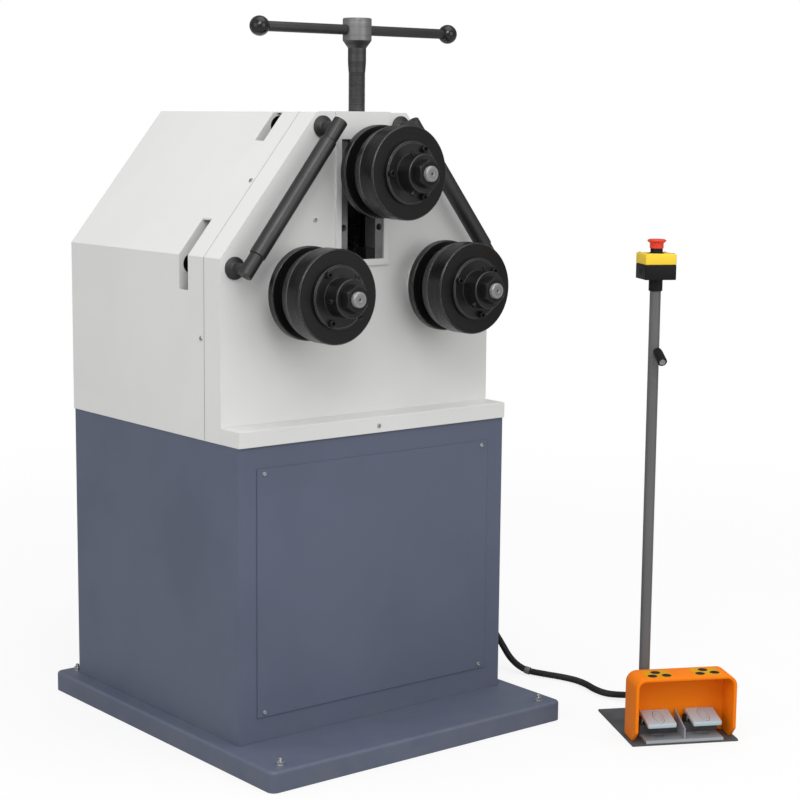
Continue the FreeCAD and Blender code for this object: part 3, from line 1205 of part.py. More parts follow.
def pedal(start):
    """Sloping tread with a boss below its back edge for the pivot pin, and room for the spring beside it."""
    end = f"({start} + pedal_width)"
    run_y = "(pedal_length * cos(pedal_slope * 1 deg))"
    rise = "(pedal_length * sin(pedal_slope * 1 deg))"
    tread = slab("YZ_Plane", [
        ("pedal_front", "pedal_low - pedal_thick"), (f"pedal_front + {run_y}", f"pedal_low - pedal_thick + {rise}"),
        (f"pedal_front + {run_y}", f"pedal_low + {rise}"), ("pedal_front", "pedal_low")], start, end)
    near = f"({start} + coil_room)"
    web = block((near, end), ("pivot_back - pivot_lug / 2", "pivot_back + pivot_lug / 2"),
                ("pivot_rise", "pedal_low + pedal_slope / 2"))
    boss = rod("X", "pivot_lug", near, end, ("pivot_back", "pivot_rise"))
    hole = rod("X", "pivot_radius + run", near, end, ("pivot_back", "pivot_rise"))
    return cut(fuse(tread, web, boss), hole)


def pedal_spring(side):
    """A torsion coil on the pivot pin, drawn as touching rings, with one leg down to the switch block."""
    middle = "(pivot_radius + seat + coil_wire)"
    first = f"(pedal_{side}_x + coil_wire + seat)"
    rings = []
    for k in range(COILS):
        ring = doc.addObject("Part::Torus", "Coil")
        ring.Placement.Rotation = AXES["X"]
        bind(ring, Radius1=middle, Radius2="coil_wire")
        rings.append(locate(ring, f"{first} + coil_wire * {1.7 * k}", "pivot_back", "pivot_rise"))
    leg = rod("Z", "coil_wire", "switch_rise", "pivot_rise", (first, f"pivot_back - {middle}"))
    return fuse(leg, *rings)


def clamp_handle():
    """Threaded stud, steel hub and a drooping black handle."""
    spot = ("post_x", "clamp_rise")
    face = "(post_y - post_radius)"
    stud = rod("Y", "clamp_stud", f"{face} - 6", "post_y - post_wall", spot)
    hub = rod("Y", "clamp_stud * 1.6", f"{face} - 6", f"{face} - seat", spot)
    grip = doc.addObject("Part::Cylinder", "Grip")
    grip.Placement.Rotation = FreeCAD.Rotation(V(1, 0, 0), 90 + SIZE["clamp_droop"])
    bind(grip, Radius="clamp_radius", Height="clamp_length")
    locate(grip, "post_x", f"{face} - clamp_radius", "clamp_rise + clamp_radius / 4")
    return fuse(stud, hub, grip)


def stop_parts():
    """Box with collar on the post, lid, and the stop button on its stem."""
    x0, x1 = "post_x - stop_box / 2", "post_x + stop_box / 2"
    y0, y1 = "post_y - stop_box / 2", "post_y + stop_box / 2"
    top = "(post_top + stop_base)"
    lid_top = f"({top} + stop_lid)"
    inner = [(f"{x0} + stop_wall", f"{x1} - stop_wall"), (f"{y0} + stop_wall", f"{y1} - stop_wall")]
    shell = cut(fuse(block((x0, x1), (y0, y1), ("post_top", top)),
                     rod("Z", "post_radius + collar_wall", "post_top - collar_height", "post_top", post_spot())),
                block(*inner, ("post_top + stop_wall", top)),
                rod("Z", "post_radius + run", "post_top - collar_height", "post_top", post_spot()),
                rod("X", "knock_radius", x0, f"{x0} + stop_wall / 2", ("post_y", "post_top + stop_base / 2")))
    node("stop_box_base", on_stand(shell))
    neck = rod("Z", "stop_neck_radius", lid_top, f"{lid_top} + stop_neck", post_spot())
    lid = cut(fuse(block((x0, x1), (y0, y1), (top, lid_top)), neck),
              block(*inner, (top, f"{lid_top} - stop_wall")),
              rod("Z", "stop_stem_radius + run", f"{lid_top} - stop_wall", f"{lid_top} + stop_neck", post_spot()))
    node("stop_box_lid", on_stand(lid))
    neck_top = f"({lid_top} + stop_neck)"
    stem_top = f"({neck_top} + stop_grip)"
    stem = fuse(rod("Z", "stop_stem_radius", f"{lid_top} - 2 * stop_wall", stem_top, post_spot()),
                rod("Z", "stop_stem_radius + 2", f"{lid_top} - 2 * stop_wall - seat", f"{lid_top} - stop_wall - seat",
                    post_spot()))
    node("stop_stem", on_stand(stem))
    cap_low = f"({neck_top} + stop_grip)"
    roof = f"({neck_top} + stop_travel + 1)"
    cap_top = f"({cap_low} + stop_cap)"
    skirt, bore = "(stop_neck_radius + seat)", "(stop_stem_radius + run)"
    button = turned([
        (skirt, f"{neck_top} + seat"), ("stop_grip_radius", f"{neck_top} + seat"), ("stop_grip_radius", cap_low),
        ("stop_cap_radius", f"{cap_low} + stop_cap * 0.45"), ("stop_cap_radius", f"{cap_low} + stop_cap * 0.7"),
        ("stop_cap_radius * 0.85", cap_top), (0, cap_top), (0, f"{stem_top} + run"),
        (bore, f"{stem_top} + run"), (bore, roof), (skirt, roof)], FreeCAD.Rotation(), "post_x", "post_y", 0)
    node("stop_button", on_stand(group(button)))


# ---------------------------------------------------------------- control cable

def stand_point(x, y, z):
    turn = FreeCAD.Rotation(V(0, 0, 1), SIZE["stand_turn"])
    return V(SIZE["stand_x"], SIZE["stand_y"], 0) + turn.multVec(V(x, y, z))


def cable_points():
    """The route, from one gland's mouth to the other's."""
    side = SIZE["housing_width"] / 2 - SIZE["cabinet_step"]
    start = V(side + SIZE["gland_length"], CABLE_START_Y, CABLE_START_Z)
    mouth = SIZE["hood_front"] + SIZE["hood_depth"] + SIZE["gland_length"]
    ends = [stand_point(HOOD_GLAND_X, mouth + run, HOOD_GLAND_Z) for run in (HOOD_RUN, 0)]
    return [start] + [V(*spot) for spot in CABLE_ROUTE] + ends


def rounded_path(points):
    """Straight runs joined by tangent arcs as large as the runs allow."""
    edges, radii = [], []
    last = points[0]
    for before, corner, after in zip(points, points[1:], points[2:]):
        back, ahead = (before - corner), (after - corner)
        half_turn = (math.pi - back.getAngle(ahead)) / 2
        reach = 0.45 * min(back.Length, ahead.Length)
        radii.append(reach / math.tan(half_turn))
        enter = corner + back.normalize() * reach
        leave = corner + ahead.normalize() * reach
        middle_way = (back + ahead).normalize()
        middle = corner + middle_way * (radii[-1] / math.cos(half_turn) - radii[-1])
        edges += [Part.LineSegment(last, enter).toShape(), Part.Arc(enter, middle, leave).toShape()]
        last = leave
    edges.append(Part.LineSegment(last, points[-1]).toShape())
    return Part.Wire(edges), radii


def cable_part():
    points = cable_points()
    path, radii = rounded_path(points)
    start_way = (points[1] - points[0]).normalize()
    ring = Part.Wire([Part.Circle(points[0], start_way, SIZE["cable_radius"]).toShape()])
    tube = path.makePipeShell([ring], True, False)
    cable = doc.addObject("Part::Feature", "Cable")
    cable.Shape = tube
    node("control_cable", cable)
    section = math.pi * SIZE["cable_radius"] ** 2
    print("cable length", round(path.Length, 1), "volume ratio", round(tube.Volume / (section * path.Length), 5))
    print("cable bend radii", [round(radius) for radius in radii])
    runs = [round((b - a).Length) for a, b in zip(points, points[1:])]
    print("cable runs", runs)


def check_and_write():
    """Stop on any failed object or invalid shape, then write one file for each node."""
    doc.recompute()
    bad = [f"{obj.Label} ({obj.Name}): {obj.State}" for obj in doc.Objects
           if "Invalid" in obj.State or "Error" in obj.State]
    if bad:
        raise RuntimeError("failed objects: " + "; ".join(bad))
    for name, obj in NODES.items():
        shape = obj.Shape
        if shape.isNull() or not shape.isValid() or not shape.Solids:
            raise RuntimeError(f"bad shape: {name}")
    os.makedirs("parts", exist_ok=True)
    for name, obj in NODES.items():
        obj.Shape.exportStep(f"parts/{name}.step")
    print(len(NODES), "nodes")


make_sheet()
base_parts()
cabinet_parts()
inner_frame_parts()
housing_parts()
guide_parts()
roll_parts("upper", 0, UPPER, f"({PLATE_BACK} + seat + slide_flange_depth)", f"({PLATE_FACE} + 1.2)")
roll_parts("lower_left", "-roll_spacing / 2", LOWER, "(frame_face + frame_plate + 15)",
           f"({PLATE_FACE} - bearing_cap - seat)")
roll_parts("lower_right", "roll_spacing / 2", LOWER, "(frame_face + frame_plate + 15)",
           f"({PLATE_FACE} - bearing_cap - seat)")
drive_parts()
slide_parts()
gland_parts()
stand_parts()
cable_part()
check_and_write()
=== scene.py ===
"""Dresses the ring roller: finishes for its solids, and finer pieces where a plain solid falls short."""
import logging
import math
from dataclasses import dataclass, field
from enum import Enum
from typing import Callable, Iterable, Sequence

import bmesh
import bpy
from mathutils import Matrix, Vector


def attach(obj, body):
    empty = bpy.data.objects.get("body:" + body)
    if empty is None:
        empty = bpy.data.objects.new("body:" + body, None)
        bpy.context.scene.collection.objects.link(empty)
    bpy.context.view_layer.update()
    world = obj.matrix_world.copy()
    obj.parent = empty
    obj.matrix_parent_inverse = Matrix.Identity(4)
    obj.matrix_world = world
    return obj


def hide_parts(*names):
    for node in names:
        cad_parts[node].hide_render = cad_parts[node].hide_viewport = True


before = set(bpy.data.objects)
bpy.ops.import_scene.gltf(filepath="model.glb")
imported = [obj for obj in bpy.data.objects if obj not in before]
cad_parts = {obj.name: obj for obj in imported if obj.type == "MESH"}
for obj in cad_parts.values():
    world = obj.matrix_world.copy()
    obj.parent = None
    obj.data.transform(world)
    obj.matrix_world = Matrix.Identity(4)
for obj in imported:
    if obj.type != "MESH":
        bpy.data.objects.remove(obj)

logging.basicConfig(level=logging.INFO, format="%(levelname)s %(message)s")
LOG = logging.getLogger("ring_roller")

Point = tuple[float, float, float]
Colour = tuple[float, float, float]
NODES: dict[str, bpy.types.Object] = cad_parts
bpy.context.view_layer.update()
RUNNING_GAP = 0.00005


class Ride(Enum):
    """The bodies that pieces move with."""

    MACHINE = "machine"
    SCREW = "screw"
    UPPER = "upper_roll"
    LEFT_ROLL = "lower_left_roll"
    RIGHT_ROLL = "lower_right_roll"
    LEFT_GUIDE = "left_guide"
    RIGHT_GUIDE = "right_guide"
    LEFT_PEDAL = "left_pedal"
    RIGHT_PEDAL = "right_pedal"
    CLAMP = "clamp"
    BUTTON = "button"


def linear(*channels: int) -> Colour:
    """Turn 0 to 255 display values into linear light.

    Args:
        channels: red, green and blue as seen on a display.

    Returns:
        The same colour as linear red, green and blue.
    """
    def one(value: int) -> float:
        """One channel."""
        share = value / 255
        return share / 12.92 if share <= 0.04045 else ((share + 0.055) / 1.055) ** 2.4
    return tuple(one(value) for value in channels)


# ------------------------------------------------------------------ shader graph helper


class Graph:
    """Writes nodes and links into a material or a node group."""

    def __init__(self, tree: bpy.types.NodeTree) -> None:
        """Keep the tree to write in."""
        self.tree = tree

    def node(self, kind: str, inputs: dict | None = None, **settings: object) -> bpy.types.Node:
        """Add a node, set its properties, and set or link its inputs.

        Args:
            kind: node type without the "ShaderNode" prefix.
            inputs: socket name or index to a value or an output socket.
            settings: node properties, such as operation.

        Returns:
            The new node.
        """
        made = self.tree.nodes.new(kind if kind.startswith("NodeGroup") else "ShaderNode" + kind)
        for name, value in settings.items():
            setattr(made, name, value)
        for name, value in (inputs or {}).items():
            self.feed(made.inputs[name], value)
        return made

    def feed(self, socket: bpy.types.NodeSocket, value: object) -> None:
        """Link an output into a socket, or set the socket's own value."""
        if isinstance(value, bpy.types.NodeSocket):
            self.tree.links.new(value, socket)
        elif socket.type == "RGBA" and len(value) == 3:
            socket.default_value = (*value, 1)
        else:
            socket.default_value = value

    def math(self, operation: str, first: object, second: object = 0.0,
             clamp: bool = False) -> bpy.types.NodeSocket:
        """Combine two numbers."""
        return self.node("Math", {0: first, 1: second}, operation=operation, use_clamp=clamp).outputs[0]

    def ramp(self, value: object, low: float, high: float,
             to: tuple[float, float] = (0, 1)) -> bpy.types.NodeSocket:
        """Map a range of a number smoothly onto another range."""
        made = self.node("MapRange", {"Value": value, "From Min": low, "From Max": high, "To Min": to[0],
                                      "To Max": to[1]}, interpolation_type="SMOOTHSTEP")
        return made.outputs["Result"]

    def mix(self, share: object, first: object, second: object) -> bpy.types.NodeSocket:
        """Blend two colours."""
        made = self.node("Mix", data_type="RGBA")
        self.feed(made.inputs[0], share)
        self.feed(made.inputs[6], first)
        self.feed(made.inputs[7], second)
        return made.outputs[2]

    def noise(self, vector: object, scale: object, detail: float = 3,
              roughness: float = 0.5) -> bpy.types.NodeSocket:
        """Fractal noise as a number."""
        inputs = {"Vector": vector, "Scale": scale, "Detail": detail, "Roughness": roughness}
        return self.node("TexNoise", inputs).outputs["Fac"]

    def dot(self, first: object, second: object) -> bpy.types.NodeSocket:
        """How far two directions agree."""
        return self.node("VectorMath", {0: first, 1: second}, operation="DOT_PRODUCT").outputs["Value"]


GroupBuilder = Callable[[Graph, bpy.types.Node], dict[str, object]]


def make_group(name: str, inputs: dict[str, tuple[str, object]], outputs: dict[str, str],
               build: GroupBuilder) -> bpy.types.NodeTree:
    """Build a shared effect as a node group.

    Args:
        name: the group's name.
        inputs: input name to its socket type and default.
        outputs: output name to its socket type.
        build: writes the inside and returns output name to the socket that feeds it.

    Returns:
        The node group.
    """
    tree = bpy.data.node_groups.new(name, "ShaderNodeTree")
    for label, (kind, default) in inputs.items():
        socket = tree.interface.new_socket(label, in_out="INPUT", socket_type="NodeSocket" + kind)
        if default is not None:
            socket.default_value = default
    for label, kind in outputs.items():
        tree.interface.new_socket(label, in_out="OUTPUT", socket_type="NodeSocket" + kind)
    graph = Graph(tree)
    entry = graph.node("NodeGroupInput")
    leave = graph.node("NodeGroupOutput")
    for label, socket in build(graph, entry).items():
        graph.feed(leave.inputs[label], socket)
    return tree


def build_peel(graph: Graph, entry: bpy.types.Node) -> dict[str, object]:
    """Orange peel of sprayed powder, with slow tone drift."""
    vector = entry.outputs["Vector"]
    coarse = graph.noise(vector, entry.outputs["Scale"], 2, 0.45)
    fine = graph.noise(vector, graph.math("MULTIPLY", entry.outputs["Scale"], 3.7), 2, 0.6)
    height = graph.math("ADD", graph.math("MULTIPLY", coarse, 0.7), graph.math("MULTIPLY", fine, 0.3))
    drift = graph.noise(vector, 3.2, 3, 0.55)
    return {"Height": height, "Drift": graph.ramp(drift, 0.35, 0.68)}


def build_edge(graph: Graph, entry: bpy.types.Node) -> dict[str, object]:
    """Rounded edge normal and a mask of the edge itself."""
    bevel = graph.node("Bevel", {"Radius": entry.outputs["Radius"]}, samples=6)
    plain = graph.node("NewGeometry").outputs["Normal"]
    mask = graph.ramp(graph.math("SUBTRACT", 1.0, graph.dot(bevel.outputs[0], plain)), 0.015, 0.12)
    broken = graph.ramp(graph.noise(entry.outputs["Vector"], entry.outputs["Scale"], 4, 0.65), 0.42, 0.62)
    kept = graph.math("MAXIMUM", broken, entry.outputs["Even"])
    return {"Normal": bevel.outputs[0], "Wear And Highlight": graph.math("MULTIPLY", mask, kept)}


def build_grime(graph: Graph, entry: bpy.types.Node) -> dict[str, object]:
    """Dust that settles low down and in faint streaks."""
    vector = entry.outputs["Vector"]
    height = graph.node("SeparateXYZ", {0: vector}).outputs[2]
    low = graph.ramp(height, entry.outputs["Top"], 0.0)
    blotch = graph.noise(vector, 14.0, 5, 0.62)
    stretched = graph.node("VectorMath", {0: vector, 1: (38.0, 38.0, 2.4)}, operation="MULTIPLY").outputs[0]
    streak = graph.ramp(graph.noise(stretched, 1.0, 3, 0.5), 0.48, 0.78)
    dust = graph.math("MULTIPLY", low, graph.ramp(blotch, 0.3, 0.72), clamp=True)
    return {"Dust": dust, "Streak": streak}


def build_turned(graph: Graph, entry: bpy.types.Node) -> dict[str, object]:
    """Fine rings that a lathe leaves round an axis and across a face."""
    parts = graph.node("SeparateXYZ", {0: entry.outputs["Vector"]})
    across = graph.node("CombineXYZ", {0: parts.outputs[0], 1: parts.outputs[1]}).outputs[0]
    radius = graph.node("VectorMath", {0: across}, operation="LENGTH").outputs["Value"]
    rings = graph.node("CombineXYZ", {0: radius, 1: parts.outputs[2]}).outputs[0]
    tooth = graph.noise(rings, entry.outputs["Scale"], 2, 0.6)
    band = graph.noise(rings, graph.math("MULTIPLY", entry.outputs["Scale"], 0.12), 2, 0.5)
    return {"Height": tooth, "Band": graph.ramp(band, 0.35, 0.66)}


def build_brushed(graph: Graph, entry: bpy.types.Node) -> dict[str, object]:
    """Parallel grinding marks along X, with a blotchy tone."""
    stretched = graph.node("VectorMath", {0: entry.outputs["Vector"], 1: (0.03, 1.0, 1.0)},
                           operation="MULTIPLY").outputs[0]
    lines = graph.noise(stretched, entry.outputs["Scale"], 3, 0.65)
    blotch = graph.noise(entry.outputs["Vector"], 22.0, 3, 0.55)
    return {"Height": lines, "Band": graph.ramp(blotch, 0.35, 0.7)}


VECTOR_INPUT = {"Vector": ("Vector", None)}


class Effects:
    """The node groups that finishes share."""

    def __init__(self) -> None:
        """Build each group once."""
        floats = {"Height": "Float", "Band": "Float"}
        scaled = {**VECTOR_INPUT, "Scale": ("Float", 900.0)}
        self.peel = make_group("orange_peel", scaled, {"Height": "Float", "Drift": "Float"}, build_peel)
        self.edge = make_group("soft_edges", {**VECTOR_INPUT, "Radius": ("Float", 0.0015),
                                              "Scale": ("Float", 60.0), "Even": ("Float", 0.0)},
                               {"Normal": "Vector", "Wear And Highlight": "Float"}, build_edge)
        self.grime = make_group("settled_dust", {**VECTOR_INPUT, "Top": ("Float", 0.25)},
                                {"Dust": "Float", "Streak": "Float"}, build_grime)
        self.turned = make_group("lathe_rings", scaled, floats, build_turned)
        self.brushed = make_group("grinding_marks", scaled, floats, build_brushed)


EFFECTS = Effects()


class Grain(Enum):
    """How a surface was worked, which picks its fine relief."""

    PEEL = "peel"
    TURNED = "turned"
    BRUSHED = "brushed"


@dataclass(frozen=True)
class Finish:
    """One real finish and how it varies over a surface.

    base, deep and edge_wear_and_highlight are its usual colour, its darker drift and the colour its edges
    blend towards, which is rubbed wear on most finishes and a painted highlight on the orange paint. relief
    is how high its fine grain stands and edge the radius of its edges, both in metres. bare is how metallic a
    rubbed edge is, and streak how far turning marks stretch a highlight.
    """

    name: str
    base: Colour
    deep: Colour
    edge_wear_and_highlight: Colour
    grain: Grain = Grain.PEEL
    grain_scale: float = 900.0
    relief: float = 0.00006
    roughness: tuple[float, float] = (0.36, 0.5)
    metallic: float = 0.0
    coat: float = 0.0
    edge: float = 0.0015
    wear_and_highlight_share: float = 0.35
    even: float = 0.0
    dust: float = 0.3
    dust_top: float = 0.25
    specular: float = 0.5
    bare: float = 0.0
    streak: float = 0.0

    def material(self) -> bpy.types.Material:
        """Build the finish as a procedural material, or find it if it is built.

        Returns:
            The material.
        """
        found = bpy.data.materials.get(self.name)
        if found:
            return found
        made = bpy.data.materials.new(self.name)
        made.use_nodes = True
        made.node_tree.nodes.clear()
        self.write(Graph(made.node_tree))
        return made

    def write(self, graph: Graph) -> None:
        """Write the whole material."""
        colour, rough, normal, edge_wear_and_highlight = self.surface(graph)
        shader = graph.node("BsdfPrincipled", {"Base Color": colour, "Roughness": rough, "Normal": normal})
        if self.bare:
            graph.feed(shader.inputs["Metallic"], graph.ramp(edge_wear_and_highlight, 0.0, 0.8, (self.metallic, self.bare)))
        else:
            shader.inputs["Metallic"].default_value = self.metallic
        if self.streak:
            around = graph.node("Tangent", direction_type="RADIAL", axis="Z")
            shader.inputs["Anisotropic"].default_value = self.streak
            graph.feed(shader.inputs["Tangent"], around.outputs[0])
        shader.inputs["Coat Weight"].default_value = self.coat
        shader.inputs["Coat Roughness"].default_value = 0.12
        shader.inputs["Specular IOR Level"].default_value = self.specular
        out = graph.node("OutputMaterial")
        graph.feed(out.inputs["Surface"], shader.outputs[0])

    def surface(self, graph: Graph) -> tuple[object, object, object, object]:
        """Colour, roughness, normal and edge wear of the finish.

        Args:
            graph: where to write the nodes.

        Returns:
            The sockets for colour, roughness, normal and the edge mask, which is wear on most finishes and a
            painted highlight on the orange paint.
        """
        where = graph.node("TexCoord").outputs["Object"]
        height, drift = self.fine_relief(graph, where)
        edge = graph.node("Group", node_tree=EFFECTS.edge)
        grime = graph.node("Group", node_tree=EFFECTS.grime)
        for group in (edge, grime):
            graph.feed(group.inputs["Vector"], where)
        edge.inputs["Radius"].default_value = self.edge
        edge.inputs["Even"].default_value = self.even
        grime.inputs["Top"].default_value = self.dust_top
        colour = graph.mix(drift, self.base, self.deep)
        colour = graph.mix(graph.math("MULTIPLY", grime.outputs["Streak"], 0.1), colour, self.deep)
        # Edges blend towards the edge colour: rubbed wear on most finishes, a painted highlight on the orange
        # paint.
        edge_wear_and_highlight = graph.math("MULTIPLY", edge.outputs["Wear And Highlight"], self.wear_and_highlight_share)
        colour = graph.mix(edge_wear_and_highlight, colour, self.edge_wear_and_highlight)
        dust = graph.math("MULTIPLY", grime.outputs["Dust"], self.dust)
        colour = graph.mix(dust, colour, linear(150, 146, 138))
        low, high = self.roughness
        rough = graph.ramp(graph.math("ADD", drift, dust), 0.0, 1.4, (low, high))
        bump = graph.node("Bump", {"Height": height, "Distance": self.relief, "Strength": 0.6,
                                   "Normal": edge.outputs["Normal"]})
        return colour, rough, bump.outputs[0], edge_wear_and_highlight

    def fine_relief(self, graph: Graph, where: object) -> tuple[object, object]:
        """Height of the fine relief and a slow tone mask, by the kind of grain."""
        group = graph.node("Group", node_tree=getattr(EFFECTS, self.grain.value))
        graph.feed(group.inputs["Vector"], where)
        group.inputs["Scale"].default_value = self.grain_scale
        return group.outputs["Height"], group.outputs["Drift" if self.grain is Grain.PEEL else "Band"]


SLATE = Finish("slate_powder_coat", linear(92, 99, 119), linear(87, 94, 114), linear(132, 139, 155),
               roughness=(0.44, 0.56), wear_and_highlight_share=0.2, dust=0.12, dust_top=0.1)
WHITE = Finish("white_powder_coat", linear(224, 224, 223), linear(220, 220, 219), linear(236, 236, 236),
               roughness=(0.4, 0.52), wear_and_highlight_share=0.1, dust=0.04, dust_top=0.9)
BLACK = Finish("black_oxide_steel", linear(22, 22, 23), linear(15, 15, 16), linear(206, 206, 206),
               Grain.TURNED, 1100.0, 0.00006, (0.26, 0.36), edge=0.0011, wear_and_highlight_share=1.0, even=0.9, dust=0.0,
               specular=0.45, bare=1.0)
HUB_BLACK = Finish("black_oxide_hub", linear(25, 25, 26), linear(17, 17, 18), linear(190, 190, 190),
                   Grain.TURNED, 1300.0, 0.0001, (0.28, 0.36), edge=0.0008, wear_and_highlight_share=0.8, even=0.7,
                   dust=0.0, specular=0.6, bare=1.0, streak=0.6)
BLACK_NUT = Finish("black_oxide_nut", linear(26, 26, 27), linear(19, 19, 20), linear(120, 120, 120),
                   Grain.PEEL, 900.0, 0.00003, (0.24, 0.34), edge=0.0006, wear_and_highlight_share=0.8, even=0.6, dust=0.0,
                   specular=0.4, bare=0.9)
SCREW_BLACK = Finish("black_cap_screw", linear(24, 24, 25), linear(18, 18, 19), linear(110, 110, 110),
                     Grain.TURNED, 2400.0, 0.00003, (0.26, 0.36), edge=0.0004, wear_and_highlight_share=0.8, even=0.6, dust=0.0,
                     specular=0.4, bare=0.8)
BLACK_BAR = Finish("black_oxide_bar", linear(88, 88, 89), linear(76, 76, 77), linear(136, 136, 136),
                   Grain.PEEL, 700.0, 0.00004, (0.42, 0.52), metallic=0.88, edge=0.0008, wear_and_highlight_share=0.6, even=0.3,
                   dust=0.0, bare=0.95)
BLACK_STEM = Finish("black_oxide_stem", linear(96, 96, 97), linear(82, 82, 83), linear(150, 150, 150),
                    Grain.TURNED, 1300.0, 0.00008, (0.38, 0.48), metallic=0.85, edge=0.0006, wear_and_highlight_share=0.5,
                    even=0.2, dust=0.0, streak=0.6)
BOSS_STEEL = Finish("satin_boss_steel", linear(142, 142, 143), linear(124, 124, 125), linear(196, 196, 196),
                    Grain.TURNED, 1500.0, 0.00004, (0.34, 0.46), metallic=0.55, edge=0.0008, wear_and_highlight_share=0.4,
                    even=0.2, dust=0.0)
SHAFT_END = Finish("machined_shaft", linear(166, 166, 167), linear(142, 142, 143), linear(206, 206, 206),
                   Grain.TURNED, 1800.0, 0.00004, (0.32, 0.44), metallic=0.6, edge=0.0005, wear_and_highlight_share=0.4, even=0.3,
                   dust=0.0)
BALL = Finish("black_ball_knob", linear(20, 20, 21), linear(16, 16, 17), linear(60, 60, 60),
              Grain.PEEL, 500.0, 0.00002, (0.14, 0.24), coat=0.5, edge=0.0006, wear_and_highlight_share=0.2, dust=0.0)
RUBBER = Finish("black_cable_rubber", linear(31, 31, 32), linear(24, 24, 25), linear(58, 58, 58),
                Grain.PEEL, 1400.0, 0.00006, (0.46, 0.6), edge=0.0004, wear_and_highlight_share=0.2, dust=0.08, dust_top=0.03,
                specular=0.35)
JOINT_GREY = Finish("grey_joint_ring", linear(118, 118, 119), linear(102, 102, 103), linear(150, 150, 150),
                    Grain.TURNED, 1800.0, 0.00004, (0.36, 0.5), metallic=0.2, edge=0.0004, wear_and_highlight_share=0.4,
                    dust=0.05)
GROUND = Finish("ground_steel", linear(150, 150, 150), linear(120, 120, 121), linear(190, 190, 190),
                Grain.TURNED, 1400.0, 0.00004, (0.3, 0.45), metallic=0.75, edge=0.0006, wear_and_highlight_share=0.4, dust=0.0)
GIB = Finish("ground_gib_steel", linear(138, 138, 139), linear(118, 118, 120), linear(176, 176, 176),
             Grain.BRUSHED, 900.0, 0.00005, (0.4, 0.54), metallic=0.5, edge=0.0006, wear_and_highlight_share=0.4, dust=0.0)
SLIDE = Finish("dark_slide_steel", linear(38, 38, 39), linear(28, 28, 29), linear(90, 90, 90),
               Grain.BRUSHED, 900.0, 0.00005, (0.36, 0.52), metallic=0.4, edge=0.0006, wear_and_highlight_share=0.3, dust=0.0)
# Near-black finish that is painted shade, used on the slide's slot walls and in the guide bores, where little
# light reaches.
SHADE_BLACK = Finish("painted_shade_black", linear(17, 17, 18), linear(12, 12, 13), linear(50, 50, 50),
               Grain.BRUSHED, 900.0, 0.00005, (0.4, 0.55), edge=0.0004, wear_and_highlight_share=0.2, dust=0.0, specular=0.15)
ZINC = Finish("zinc_hardware", linear(205, 206, 208), linear(176, 178, 182), linear(230, 230, 230),
              Grain.TURNED, 2200.0, 0.00003, (0.22, 0.36), metallic=0.85, edge=0.0003, wear_and_highlight_share=0.3, dust=0.0)
PRIMER = Finish("frame_primer", linear(78, 84, 94), linear(66, 72, 82), linear(120, 120, 124),
                roughness=(0.5, 0.7), wear_and_highlight_share=0.5, dust=0.3, dust_top=1.2)
CASTING = Finish("painted_casting", linear(72, 84, 98), linear(60, 70, 84), linear(120, 120, 120),
                 Grain.PEEL, 260.0, 0.0003, (0.45, 0.62), wear_and_highlight_share=0.4, dust=0.3, dust_top=1.2)
BOX_GREY = Finish("moulded_grey_plastic", linear(176, 177, 174), linear(168, 169, 166), linear(200, 200, 198),
                  Grain.PEEL, 1500.0, 0.00005, (0.45, 0.55), wear_and_highlight_share=0.1, dust=0.2, dust_top=0.7)
BLACK_PLASTIC = Finish("moulded_black_plastic", linear(22, 22, 23), linear(18, 18, 19), linear(66, 66, 66),
                       Grain.PEEL, 1700.0, 0.00005, (0.4, 0.52), edge=0.0012, wear_and_highlight_share=0.25, dust=0.03,
                       specular=0.25)
CAP_STEEL = Finish("bright_cap", linear(190, 190, 191), linear(160, 160, 161), linear(220, 220, 220),
                   Grain.TURNED, 2400.0, 0.00003, (0.24, 0.34), metallic=0.8, edge=0.0004, wear_and_highlight_share=0.3, dust=0.0)
# The orange paint's lighter edge colour, on broad and little broken edges, is a painted highlight along the
# hood's rims.
ORANGE = Finish("orange_cast_paint", linear(250, 132, 20), linear(246, 124, 16), linear(252, 172, 70),
                Grain.PEEL, 500.0, 0.0001, (0.44, 0.56), edge=0.003, wear_and_highlight_share=0.3, even=0.3, dust=0.0,
                dust_top=0.02, specular=0.08)
YELLOW = Finish("yellow_moulded_plastic", linear(250, 216, 66), linear(246, 208, 58), linear(250, 230, 120),
                Grain.PEEL, 1500.0, 0.00004, (0.36, 0.46), edge=0.0012, wear_and_highlight_share=0.2, dust=0.02, specular=0.2)
LABEL = Finish("amber_label_film", linear(224, 160, 14), linear(214, 150, 12), linear(236, 190, 80),
               Grain.PEEL, 2200.0, 0.00002, (0.36, 0.46), edge=0.0002, wear_and_highlight_share=0.3, dust=0.0, specular=0.08)
LABEL_INK = Finish("black_label_ink", linear(24, 18, 14), linear(18, 14, 12), linear(80, 60, 40),
                   Grain.PEEL, 2200.0, 0.00002, (0.34, 0.46), edge=0.0002, wear_and_highlight_share=0.3, dust=0.05, specular=0.3)
RED = Finish("red_moulded_plastic", linear(226, 66, 50), linear(216, 56, 42), linear(240, 116, 100),
             Grain.PEEL, 1500.0, 0.00003, (0.32, 0.42), edge=0.001, wear_and_highlight_share=0.15, dust=0.02, specular=0.4)
POST_GREY = Finish("grey_post_paint", linear(102, 102, 102), linear(94, 94, 95), linear(140, 140, 140),
                   Grain.PEEL, 800.0, 0.00005, (0.4, 0.5), edge=0.0008, wear_and_highlight_share=0.2, dust=0.06, dust_top=0.1,
                   specular=0.4)
CAST_ALLOY = Finish("cast_alloy", linear(158, 163, 168), linear(142, 148, 154), linear(204, 208, 212),
                    Grain.PEEL, 420.0, 0.00014, (0.42, 0.56), metallic=0.1, edge=0.0008, wear_and_highlight_share=0.6, even=0.5,
                    dust=0.0)
